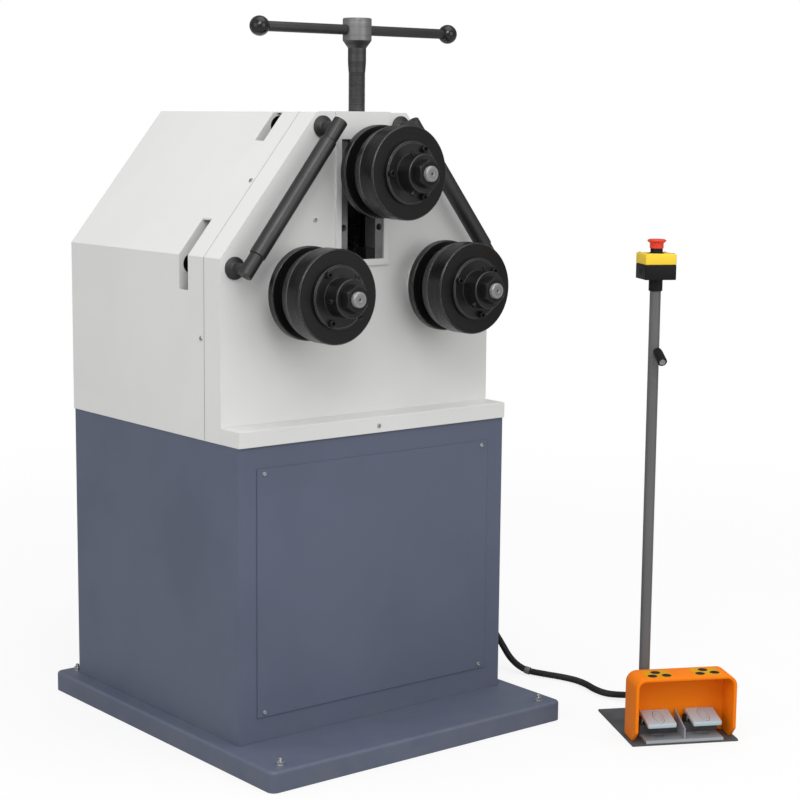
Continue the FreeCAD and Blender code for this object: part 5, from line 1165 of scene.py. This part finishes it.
@dataclass
class Guides:
    """Two guide bars on posts, each with a sleeve that turns."""

    y: float = -0.235
    plate: float = -0.1895
    top: tuple[float, float] = (0.085, 1.197)
    low: tuple[float, float] = (0.3016, 0.9176)
    block: float = 0.045
    block_radius: float = 0.014
    sleeve: float = 0.016
    rod: float = 0.009
    inset: float = 0.014
    post: float = 0.010
    flange: float = 0.0212
    tail: float = -0.0545
    nut: float = 0.0155
    nut_tall: float = 0.022
    play: float = 0.0003

    def build(self) -> None:
        """Make the brackets and both sleeves."""
        brackets = Maker()
        for side, word in ((-1, "left"), (1, "right")):
            start = Vector((side * self.top[0], self.y, self.top[1]))
            end = Vector((side * self.low[0], self.y, self.low[1]))
            length, way = (end - start).length, (end - start).normalized()
            place = aim(tuple(way), tuple(start))
            self.bracket(brackets, place, length, start, way)
            self.turning_sleeve(word, place, length)
        Piece("guide_bracket_set", Ride.MACHINE, "black_steel", (BLACK_BAR,),
              ("guide_brackets",)).add(brackets)

    def bracket(self, made: Maker, place: Matrix, length: float, start: Vector, way: Vector) -> None:
        """End blocks, the rod between them, and two flared posts with nuts behind the plate.

        Args:
            made: the mesh to add to.
            place: frame whose Z runs down the bar from its upper end.
            length: the bar's length.
            start: the bar's upper end.
            way: direction of the bar.
        """
        radius = self.block_radius
        end = [(0, 0.0014), (0.0024, 0.0014), (0.0036, 0), (radius, 0, 0.0014), (radius, self.block, 0.001),
               (self.rod + 0.0012, self.block, 0.0004), (self.rod, self.block)]
        made.lathe(rounded(end, 0.0004, 4), 64, place)
        flipped = place @ Matrix.Translation((0, 0, length)) @ Matrix.Rotation(math.pi, 4, "X")
        made.lathe(rounded(end, 0.0004, 4), 64, flipped)
        made.lathe([(self.rod, self.block - 0.001), (self.rod, length - self.block + 0.001)], 48, place)
        reach = self.plate - self.y
        for along in (self.inset, length - self.inset):
            foot = start + way * along
            post = aim((0, 1, 0), (foot.x, self.y, foot.z))
            made.lathe(rounded([(self.post, 0.004), (self.post, reach - 0.0085, 0.004),
                                (self.flange, reach - 0.0034, 0.0016), (self.flange, reach, 0.0004),
                                (self.post, reach)], 0.0003, 6), 72, post)
            back = self.tail - self.y
            face = back - self.nut_tall
            made.lathe(rounded([(self.post, reach), (self.post, face), (self.nut, face, 0.001),
                                (self.nut, back, 0.0012), (0.006, back, 0.0004), (0.005, back - 0.002),
                                (0, back - 0.002)], 0.0003), 48, post)

    def turning_sleeve(self, word: str, place: Matrix, length: float) -> None:
        """Plain sleeve with a chamfer at each end."""
        made, radius, bore = Maker(), self.sleeve, self.rod + RUNNING_GAP
        low, high = self.block + self.play, length - self.block - self.play
        made.lathe([(bore, low), (radius - 0.001, low), (radius, low + 0.001), (radius, high - 0.001),
                    (radius - 0.001, high), (bore, high), (bore, low)], 72)
        Piece(f"guide_sleeve_{word}_turned", Ride[f"{word.upper()}_GUIDE"], "black_steel", (BLACK_BAR,),
              (f"guide_sleeve_{word}",), place).add(made)


# ------------------------------------------------------------------ foot switch stand

STAND_SPOT: Point = (0.3496, -0.6086, 0)
STAND_TURN = -27.8
STAND = Matrix.Translation(STAND_SPOT) @ Matrix.Rotation(math.radians(STAND_TURN), 4, "Z")


@dataclass(frozen=True)
class Label:
    """Thin label on the hood's top, with the middles of its round marks."""

    low: tuple[float, float]
    high: tuple[float, float]
    dots: tuple[tuple[float, float], ...]


@dataclass
class FootSwitch:
    """Floor plate, hood with its labels, tray, pedals and springs, in the stand's own frame."""

    left: float = 0.005
    right: float = 0.211
    front: float = 0.001
    back: float = 0.0695
    floor: float = 0.004
    top: float = 0.1332
    wall: float = 0.0065
    corner: float = 0.021
    toe: float = 0.022
    pedal_width: float = 0.0584
    pedal_front: float = 0.006
    pedal_back: float = 0.06203
    pedal_top: float = 0.040
    pedal_thick: float = 0.008
    slope: float = 13.0
    pivot: tuple[float, float] = (0.054, 0.036)
    lug: float = 0.014
    pedal_starts: tuple[float, float] = (0.0328, 0.1256)
    spring_gap: float = 0.0014
    ovals: tuple[tuple[float, float], ...] = ((0.0048, 0.0152), (0.0098, 0.0226))
    tray_levels: tuple[float, float, float] = (0.0095, 0.0285, 0.06)
    divider: float = 0.1069
    divider_half: float = 0.003
    label_set: tuple[Label, ...] = (
        Label((0.0310, 0.0110), (0.0840, 0.0580), ((0.0567, 0.0439), (0.0437, 0.0219), (0.0726, 0.0227))),
        Label((0.1300, 0.0130), (0.1830, 0.0600), ((0.1556, 0.0480), (0.1420, 0.0246), (0.1727, 0.0274))),
    )

    def build(self) -> None:
        """Dress the plate and make everything on it."""
        dress(PLATE_STEEL, "foot_plate")
        dress(CAST_ALLOY, "pedal_tray")
        inside = STAND.inverted()
        # The raised switch block under the treads is painted dark grey and its ears black, as painted shade
        # under the pedals.
        well, shelf, top = self.tray_levels
        for finish, low, high in ((PLATE_STEEL, well, shelf), (BLACK_PLASTIC, shelf, top)):
            dress_faces(finish, "pedal_tray", lambda spot, way: low < spot.z < high
                        and abs((inside @ spot).x - self.divider) > self.divider_half)
        self.hood()
        self.labels()
        rides = (Ride.LEFT_PEDAL, Ride.RIGHT_PEDAL)
        for word, start, ride in zip(("left", "right"), self.pedal_starts, rides):
            self.pedal(word, start, ride)
            self.spring(word, start + self.spring_gap)

    def arch(self, inset: float) -> list[tuple[float, float]]:
        """Outline of the hood in X and Z, moved inward."""
        radius = self.corner - inset
        left, right = self.left + inset, self.right - inset
        level = self.top - self.corner
        turns = [math.pi * k / 20 for k in range(11)]
        first = [(self.left + self.corner - radius * math.cos(turn), level + radius * math.sin(turn))
                 for turn in turns]
        second = [(self.left + self.right - across, up) for across, up in reversed(first)]
        return [(left, self.floor)] + first + second + [(right, self.floor)]

    def hood(self) -> None:
        """Cast hood, open in front, with rounded rims and toes cut back."""
        made = Maker()
        rings = []
        for inset, along in ((0, self.back), (0, self.front), (self.wall, self.front),
                             (self.wall, self.back - self.wall)):
            rings.append([made.mesh.verts.new((across, along, up)) for across, up in self.arch(inset)])
        for one, two in zip(rings, rings[1:]):
            for k in range(len(one) - 1):
                made.face((one[k], one[k + 1], two[k + 1], two[k]))
        made.face(rings[0])
        made.face(rings[3])
        outer_back, outer, inner, inner_back = rings
        made.face((outer_back[0], outer[0], inner[0], inner_back[0], inner_back[-1], inner[-1], outer[-1],
                   outer_back[-1]))
        bmesh.ops.recalc_face_normals(made.mesh, faces=made.mesh.faces)
        whole = made.mesh.verts[:] + made.mesh.edges[:] + made.mesh.faces[:]
        cut = bmesh.ops.bisect_plane(made.mesh, geom=whole, plane_co=(0, self.front + self.toe, self.floor),
                                     plane_no=(0, -1, -1), clear_outer=True)
        lines = [part for part in cut["geom_cut"] if isinstance(part, bmesh.types.BMEdge)]
        middle = (self.left + self.right) / 2
        for side in (-1, 1):
            toe = [line for line in lines if side * (line.verts[0].co.x - middle) > 0]
            bmesh.ops.contextual_create(made.mesh, geom=toe)
        made.soften(0.0017, 4, 30)
        Piece("hood_cast", Ride.MACHINE, "orange_paint", (ORANGE,), ("foot_hood",), STAND).add(made)

    def labels(self) -> None:
        """Two thin yellow labels on the hood, each with three round black marks."""
        made = Maker()
        for label in self.label_set:
            made.paint = 0
            made.block((*label.low, self.top - 0.0002), (*label.high, self.top + 0.00025), upright=0.004)
            made.paint = 1
            for spot in label.dots:
                place = Matrix.Translation((*spot, self.top + 0.0002))
                made.lathe(rounded([(0, -0.0001), (0.0095, -0.0001), (0.0095, 0.00035, 0.0002),
                                    (0.0068, 0.00035), (0.0062, 0.00015), (0, 0.00015)], 0.0001), 48, place)
        Piece("hood_labels", Ride.MACHINE, "yellow_plastic", (LABEL, LABEL_INK), (), STAND).add(made)

    def pedal(self, word: str, start: float, ride: Ride) -> None:
        """Cast tread with engraved ovals, dark rings in the grooves as painted shade, its pivot boss and the
        web between them.

        Args:
            word: left or right.
            start: the pedal's left side in the stand's frame.
            ride: its body.
        """
        width, length = self.pedal_width, self.pedal_back - self.pedal_front
        rise = math.tan(math.radians(self.slope))
        lean = Matrix(((1, 0, 0, start), (0, 1, 0, self.pedal_front), (0, rise, 1, self.pedal_top),
                       (0, 0, 0, 1)))
        centre = lean @ Matrix.Translation((width / 2, length / 2, 0))
        ovals = [centre @ Matrix.Diagonal((across, along, 1, 1)) for across, along in self.ovals]
        made, grooves = Maker(), Maker()
        made.block((0, 0, -self.pedal_thick), (width, length, 0), 0.0013, 3, 0.003, lean)
        for oval in ovals:
            grooves.lathe([(0.94, 0.0004), (0.96, -0.0007), (1.04, -0.0007), (1.06, 0.0004)], 96, oval,
                          closed=True)
        made.carve(grooves)
        back, low = self.pivot
        web, span, bore, boss = 0.0035, width - self.lug, 0.00305, 0.007
        made.block((start + self.lug, back - web, low), (start + width, back + web, low + 0.0105), 0.0008, 2)
        made.lathe(rounded([(bore, 0), (boss, 0, 0.0006), (boss, span, 0.0006), (bore, span)], 0, 3), 40,
                   aim((1, 0, 0), (start + self.lug, back, low)), closed=True)
        # Thin dark rings at the bottom of the engraved grooves: painted shade in the grooves.
        made.paint = 1
        for oval in ovals:
            made.lathe([(0.965, -0.00066), (1.035, -0.00066), (1.035, -0.00058), (0.965, -0.00058)], 96, oval,
                       closed=True)
        Piece(f"pedal_{word}_cast", ride, "pedal_metal", (PEDAL, PLATE_STEEL), (f"pedal_{word}",),
              STAND).add(made)

    def spring(self, word: str, across: float) -> None:
        """Coil wound round the pedal's pin, with one straight leg down to the switch."""
        coil, wire, pitch, turns, rows = 0.0044, 0.00092, 0.00187, 5.5, 28
        back, low = self.pivot
        path = [Vector((across, back - coil, low - 0.008 * (1 - k / 6))) for k in range(6)]
        for k in range(int(turns * rows) + 1):
            turn = math.pi - 2 * math.pi * k / rows
            path.append(Vector((across + pitch * k / rows, back + coil * math.cos(turn),
                                low + coil * math.sin(turn))))
        made = Maker()
        made.sweep(path, lambda run: wire, 10)
        Piece(f"pedal_spring_{word}_wound", Ride.MACHINE, "bright_steel", (ZINC,), (f"pedal_spring_{word}",),
              STAND).add(made)


@dataclass
class StopPost:
    """Post with its foot and clamp, and the emergency stop on top."""

    x: float = 0.0488
    y: float = 0.088
    radius: float = 0.0106
    top: float = 0.9025
    half: float = 0.031
    base_top: float = 0.9315
    lid_top: float = 0.952
    neck_top: float = 0.961
    bore: float = 0.0086
    stud_z: float = 0.763
    grip_z: float = 0.7653
    droop: float = 27.0
    collar_low: float = 0.8795
    knock_z: float = 0.917
    screw_reach: float = 0.0255

    def build(self) -> None:
        """Make the post, the clamp, the box, the lid and the button."""
        self.place = STAND @ Matrix.Translation((self.x, self.y, 0))
        self.post()
        self.clamp()
        self.box()
        self.lid()
        self.button()
        dress(BLACK_PLASTIC, "stop_stem")

    def post(self) -> None:
        """Painted tube with a welded foot and a slot for the clamp screw."""
        made = Maker()
        made.lathe(rounded([(self.bore, 0.004), (0.017, 0.004, 0.0004), (0.017, 0.012, 0.0018),
                            (self.radius + 0.0012, 0.012, 0.0012), (self.radius, 0.0145, 0.001),
                            (self.radius, self.top, 0.0003), (self.bore, self.top)], 0.0004, 4), 64)
        Piece("stand_post_tube", Ride.MACHINE, "post_paint", (POST_GREY,), ("stand_post",),
              self.place).add(made)

    def clamp(self) -> None:
        """Stud, steel hub and a drooping grip with a bright end cap."""
        made = Maker()
        face = -self.radius
        stud = aim((0, -1, 0), (0, face + 0.002, self.stud_z))
        made.paint = 1
        made.lathe(rounded([(0, -0.0015), (0.004, -0.0015), (0.004, 0.0024), (0.0064, 0.0024, 0.0006),
                            (0.0064, 0.008, 0.0006), (0.004, 0.008), (0.004, 0.016), (0, 0.016)], 0), 40,
                   stud)
        made.paint = 0
        droop = math.radians(self.droop)
        grip = aim((0, -math.cos(droop), -math.sin(droop)), (0, face - 0.0093, self.grip_z))
        made.lathe(rounded([(0, 0), (0.0082, 0, 0.002), (0.0093, 0.008, 0.002), (0.0093, 0.0385, 0.0018),
                            (0.0068, 0.0385, 0.0004), (0.0066, 0.0375), (0, 0.0375)], 0.0004, 5), 56, grip)
        made.paint = 1
        made.lathe(rounded([(0.0061, 0.0372), (0.0061, 0.0395, 0.0009), (0, 0.0400)], 0.0004, 5), 48, grip)
        Piece("clamp_grip", Ride.CLAMP, "black_plastic", (BLACK_PLASTIC, CAP_STEEL), ("clamp_handle",),
              self.place).add(made)

    def box(self) -> None:
        """Lower box with its collar on the post and a knock-out in the left side."""
        made, half = Maker(), self.half
        made.block((-half, -half, self.top), (half, half, self.base_top - 0.0003), 0.0012, 3, 0.0035)
        collar = self.radius + 0.0027
        made.lathe(rounded([(self.radius + 0.0001, self.collar_low), (collar, self.collar_low, 0.0012),
                            (collar, 0.898, 0.0006), (collar, self.top + 0.001)], 0.0004, 4), 56)
        knock = aim((-1, 0, 0), (-half, 0, self.knock_z))
        made.lathe(rounded([(0, 0.0004), (0.0042, 0.0004), (0.0044, 0), (0.0054, 0), (0.0056, 0.0005),
                            (0.0063, 0.0005), (0.0066, -0.0002)], 0.0002, 2), 40, knock)
        Piece("stop_box_lower", Ride.MACHINE, "black_plastic", (BLACK_PLASTIC,), ("stop_box_base",),
              self.place).add(made)

    def lid(self) -> None:
        """Yellow lid with four sunk screws and the black neck of the button."""
        made, half = Maker(), self.half
        made.block((-half, -half, self.base_top), (half, half, self.lid_top), 0.0014, 3, 0.0035)
        made.paint = 1
        for across in (-1, 1):
            for along in (-1, 1):
                spot = (across * self.screw_reach, along * self.screw_reach, self.lid_top - 0.0004)
                made.socket_screw(0.0026, 0.0012, Matrix.Translation(spot))
        made.lathe(rounded([(0.0148, self.lid_top - 0.0002), (0.0148, self.lid_top + 0.0012, 0.0006),
                            (0.0118, self.lid_top + 0.0016, 0.0004), (0.0118, self.neck_top - 0.0002, 0.0005),
                            (0.0062, self.neck_top - 0.0002)], 0.0003, 3), 56)
        Piece("stop_box_yellow_lid", Ride.MACHINE, "yellow_plastic", (YELLOW, BLACK_PLASTIC),
              ("stop_box_lid",), self.place).add(made)

    def button(self) -> None:
        """Red mushroom head with a grip skirt and a dished top."""
        made, low, rim = Maker(), self.neck_top + 0.0003, self.neck_top + 0.0105
        made.lathe(rounded([(0.0121, low), (0.0132, low, 0.0005), (0.0132, rim - 0.0004, 0.002),
                            (0.0180, rim + 0.0034, 0.0012), (0.0180, rim + 0.0054, 0.0016),
                            (0.0150, rim + 0.0073, 0.003), (0.0085, rim + 0.0075, 0.002), (0, rim + 0.0068)],
                           0.0005, 6), 72)
        Piece("stop_button_head", Ride.BUTTON, "red_plastic", (RED,), ("stop_button",), self.place).add(made)


# ------------------------------------------------------------------ cable


@dataclass
class ControlCable:
    """Corrugated cable between the cabinet and the foot switch, with its glands."""

    radius: float = 0.0071
    joint: float = 0.318
    joint_long: float = 0.012
    boot_long: float = 0.030
    ripple: float = 0.0042
    depth: float = 0.0014
    wall_gland: Point = (0.323, -0.004, 0.177)
    mains_gland: Point = (0.2, 0.356, 0.12)
    hood_gland: Point = (0.160, 0.0695, 0.030)
    mains_bore: float = 0.006
    gland_flats: float = 0.028
    route: tuple[Point, ...] = (
        (0.349, -0.004, 0.177), (0.391, -0.004, 0.177), (0.433, -0.008, 0.161), (0.468, -0.015, 0.131),
        (0.493, -0.028, 0.094), (0.507, -0.049, 0.056), (0.507, -0.081, 0.025), (0.512, -0.120, 0.0085),
        (0.528, -0.161, 0.0074), (0.544, -0.200, 0.0074), (0.554, -0.239, 0.0074), (0.550, -0.277, 0.0074),
        (0.538, -0.313, 0.0074), (0.536, -0.351, 0.0076), (0.546, -0.386, 0.012), (0.564, -0.420, 0.0165),
        (0.579, -0.455, 0.017), (0.582, -0.492, 0.0185), (0.572, -0.529, 0.024), (0.55340, -0.56513, 0.030),
        (0.53567, -0.59875, 0.030),
    )

    def build(self) -> None:
        """Make the cable, the joint ring on it, the glands and their boots."""
        path = self.centre_line()
        steps = [0.0]
        for before, here in zip(path, path[1:]):
            steps.append(steps[-1] + (here - before).length)
        length = steps[-1]
        hose = Maker()
        hose.sweep(self.spread(path, steps, 0.0, length, 1150), self.section, 22)
        piece = Piece("control_cable_hose", Ride.MACHINE, "cable_rubber", (RUBBER,),
                      ("control_cable",)).add(hose)
        ring, half = Maker(), self.joint_long / 2
        ring.sweep(self.spread(path, steps, self.joint - half, self.joint + half, 13), self.ring_section, 32)
        band = Piece("cable_joint_ring", Ride.MACHINE, "cable_rubber", (JOINT_GREY,)).add(ring)
        boots = Maker()
        for start, end in ((0.0, self.boot_long), (length, length - self.boot_long)):
            boots.sweep(self.spread(path, steps, start, end, 31), self.boot_section, 28)
        boot = Piece("cable_boots", Ride.MACHINE, "cable_rubber", (RUBBER,)).add(boots)
        LOG.info("cable length %.4f m", length)
        self.glands()

    def centre_line(self) -> list[Vector]:
        """Points along the route's smooth line."""
        line = bpy.data.curves.new("cable_line", "CURVE")
        line.dimensions = "3D"
        spline = line.splines.new("NURBS")
        spline.points.add(len(self.route) - 1)
        for point, spot in zip(spline.points, self.route):
            point.co = (*spot, 1)
        spline.order_u = 3
        spline.use_endpoint_u = True
        spline.resolution_u = 12
        holder = bpy.data.objects.new("cable_line", line)
        mesh = bpy.data.meshes.new_from_object(holder)
        path = [vert.co.copy() for vert in mesh.vertices]
        bpy.data.meshes.remove(mesh)
        bpy.data.objects.remove(holder)
        bpy.data.curves.remove(line)
        return path

    def spread(self, path: Sequence[Vector], steps: Sequence[float], start: float, end: float,
               count: int) -> list[Vector]:
        """Points at even distances along part of the path."""
        out, k = [], 0
        for j in range(count):
            goal = start + (end - start) * j / (count - 1)
            if start > end:
                k = 0
            while k < len(steps) - 2 and steps[k + 1] < goal:
                k += 1
            share = (goal - steps[k]) / max(steps[k + 1] - steps[k], 1e-9)
            out.append(path[k].lerp(path[k + 1], min(max(share, 0), 1)))
        return out

    def section(self, run: float) -> float:
        """Radius of the hose: smooth up to the joint, ribbed after it."""
        if run < self.joint:
            return self.radius - 0.0001
        wave = 0.5 - 0.5 * math.cos(2 * math.pi * (run - self.joint) / self.ripple)
        return self.radius - self.depth * (1 - wave ** 0.6)

    def ring_section(self, run: float) -> float:
        """Radius of the joint ring: two lips and a groove."""
        turn = math.pi * min(run, self.joint_long) / 0.004
        return self.radius + 0.0011 - 0.0006 * abs(math.cos(turn)) ** 4

    def boot_section(self, run: float) -> float:
        """Radius of a boot: tapered, with shallow ribs."""
        rib = 0.0004 * math.cos(2 * math.pi * run / 0.005)
        return self.radius + 0.0002 + 0.0021 * max(0.0, 1 - run / 0.029) + (rib if 0.003 < run < 0.026 else 0)

    def glands(self) -> None:
        """Hexagon, domed nut and rubber mouth, one on each wall."""
        made, flats, nut = Maker(), self.gland_flats / 2, 0.007
        corner, dome, mouth = self.gland_flats / math.sqrt(3), 0.012, 0.026
        for place, bore in (
            (aim((1, 0, 0), self.wall_gland), self.radius),
            (aim((0, 1, 0), self.mains_gland), self.mains_bore),
            (STAND @ aim((0, 1, 0), self.hood_gland), self.radius),
        ):
            rows = [(bore, 0), (flats * 1.01, 0, flats), (corner, 0.0008, flats),
                    (corner, nut - 0.0008, flats), (flats * 1.01, nut, flats)]
            rows += rounded([(dome, nut), (dome, 0.0195, 0.004), (0.0098, mouth, 0.0012),
                             (bore + 0.0004, mouth, 0.0004), (bore + 0.0002, mouth - 0.0005)], 0.0004, 6)
            made.lathe(rows, 48, place, closed=True)
        Piece("cable_gland_set", Ride.MACHINE, "black_plastic", (BLACK_PLASTIC,), ("cable_glands",)).add(made)


# ------------------------------------------------------------------ stage


@dataclass(frozen=True)
class Softbox:
    """Square soft lamp: where it stands, what it is aimed at, its side in metres and its power in watts."""

    name: str
    spot: Point
    aimed_at: Point
    size: float
    power: float

    def hang(self) -> None:
        """Put the lamp in the scene."""
        data = bpy.data.lights.new(self.name, "AREA")
        data.shape = "SQUARE"
        data.size = self.size
        data.energy = self.power
        lamp = bpy.data.objects.new(self.name, data)
        bpy.context.scene.collection.objects.link(lamp)
        toward = Vector(self.aimed_at) - Vector(self.spot)
        turn = toward.to_track_quat("-Z", "Y").to_matrix().to_4x4()
        lamp.matrix_world = Matrix.Translation(self.spot) @ turn


@dataclass
class Stage:
    """Floor, lamps, world and camera."""

    eye: Point = (-2.2153, -3.0613, 1.2004)
    heading: float = 38.864
    dip: float = 8.465
    tilt: float = 0.548
    lens: float = 84.77
    floor_half: float = 12
    floor_drop: float = 0.0005
    softboxes: tuple[Softbox, ...] = (
        Softbox("key_softbox", (-1.45, -2.5, 3.0), (0, -0.2, 0.9), 1.2, 21),
        Softbox("rim_softbox", (-1.98, -2.1, 2.35), (0, -0.3, 1.0), 0.8, 6),
        Softbox("top_softbox", (0.1, -0.8, 3.4), (0, 0, 0.6), 2.4, 18),
        Softbox("left_softbox", (-3.2, -0.6, 1.6), (0, 0, 0.7), 2.0, 10),
        Softbox("front_softbox", (0.8, -3.8, 1.7), (0, 0, 0.7), 2.2, 17),
    )

    def build(self) -> None:
        """Set the whole stage."""
        self.camera()
        self.floor()
        self.world()
        self.lamps()
        bpy.context.scene.view_settings.view_transform = "Standard"

    def camera(self) -> None:
        """Place the camera by its heading, dip and tilt."""
        yaw, dip, tilt = (math.radians(angle) for angle in (self.heading, self.dip, self.tilt))
        ahead = Vector((math.sin(yaw) * math.cos(dip), math.cos(yaw) * math.cos(dip), -math.sin(dip)))
        right = Vector((math.cos(yaw), -math.sin(yaw), 0))
        up = right.cross(ahead)
        turned_right = right * math.cos(tilt) + up * math.sin(tilt)
        turned_up = up * math.cos(tilt) - right * math.sin(tilt)
        data = bpy.data.cameras.new("camera")
        data.lens = self.lens
        data.sensor_width = 36
        camera = bpy.data.objects.new("camera", data)
        bpy.context.scene.collection.objects.link(camera)
        basis = Matrix((turned_right, turned_up, -ahead)).transposed().to_4x4()
        camera.matrix_world = Matrix.Translation(self.eye) @ basis
        bpy.context.scene.camera = camera

    def floor(self) -> None:
        """A wide pale floor that shows white and keeps a soft shadow."""
        made = bmesh.new()
        bmesh.ops.create_grid(made, x_segments=1, y_segments=1, size=self.floor_half)
        bmesh.ops.translate(made, vec=(0, 0, -self.floor_drop), verts=made.verts)
        mesh = bpy.data.meshes.new("floor")
        made.to_mesh(mesh)
        made.free()
        floor = bpy.data.objects.new("floor", mesh)
        bpy.context.scene.collection.objects.link(floor)
        mesh.materials.append(self.floor_material())

    def floor_material(self) -> bpy.types.Material:
        """White paper floor: mostly lit by itself for the camera, so that only a shadow shows."""
        made = bpy.data.materials.new("studio_floor")
        made.use_nodes = True
        made.node_tree.nodes.clear()
        graph = Graph(made.node_tree)
        where = graph.node("TexCoord").outputs["Object"]
        tone = graph.mix(graph.noise(where, 6.0, 3), (0.86, 0.86, 0.86), (0.9, 0.9, 0.9))
        glow = graph.node("Emission", {"Color": (1, 1, 1), "Strength": 1.0})
        path = graph.node("LightPath")
        tone = graph.mix(path.outputs["Is Camera Ray"], (0.4, 0.4, 0.4), tone)
        matte = graph.node("BsdfDiffuse", {"Color": tone})
        away = graph.node("VectorMath", {0: where}, operation="LENGTH").outputs["Value"]
        share = graph.math("MULTIPLY", path.outputs["Is Camera Ray"], graph.ramp(away, 1.4, 3.6, (0.8, 1.0)))
        blend = graph.node("MixShader", {0: share, 1: matte.outputs[0], 2: glow.outputs[0]})
        out = graph.node("OutputMaterial")
        graph.feed(out.inputs["Surface"], blend.outputs[0])
        return made

    def world(self) -> None:
        """White for what looks at it, and for the rest a soft light that is strongest from the upper left."""
        world = bpy.data.worlds.new("studio")
        bpy.context.scene.world = world
        world.use_nodes = True
        world.node_tree.nodes.clear()
        graph = Graph(world.node_tree)
        path = graph.node("LightPath")
        seen = graph.math("MAXIMUM", path.outputs["Is Camera Ray"], path.outputs["Is Transmission Ray"])
        way = graph.node("TexCoord").outputs["Generated"]
        toward = graph.dot(way, (-0.45, -0.35, 0.82))
        flagged = graph.ramp(path.outputs["Is Glossy Ray"], 0.0, 1.0, (1.0, 0.4))
        strength = graph.math("MULTIPLY", graph.ramp(toward, -0.8, 0.9, (0.3, 0.96)), flagged)
        soft = graph.node("Background", {"Color": (1, 1, 1), "Strength": strength})
        white = graph.node("Background", {"Color": (1, 1, 1), "Strength": 1.0})
        blend = graph.node("MixShader", {0: seen, 1: soft.outputs[0], 2: white.outputs[0]})
        out = graph.node("OutputWorld")
        graph.feed(out.inputs["Surface"], blend.outputs[0])

    def lamps(self) -> None:
        """Two lamps from the upper left in front, one above, one on the left and one in front."""
        for softbox in self.softboxes:
            softbox.hang()


def main() -> None:
    """Build every sub-assembly and the stage."""
    Stage().build()
    ControlCable().build()
    for part in (Cabinet(), Housing(), Rolls(), LiftScrew(), Guides(), FootSwitch(), StopPost()):
        part.build()
        LOG.info("built %s", type(part).__name__)


if __name__ == "__main__":
    main()
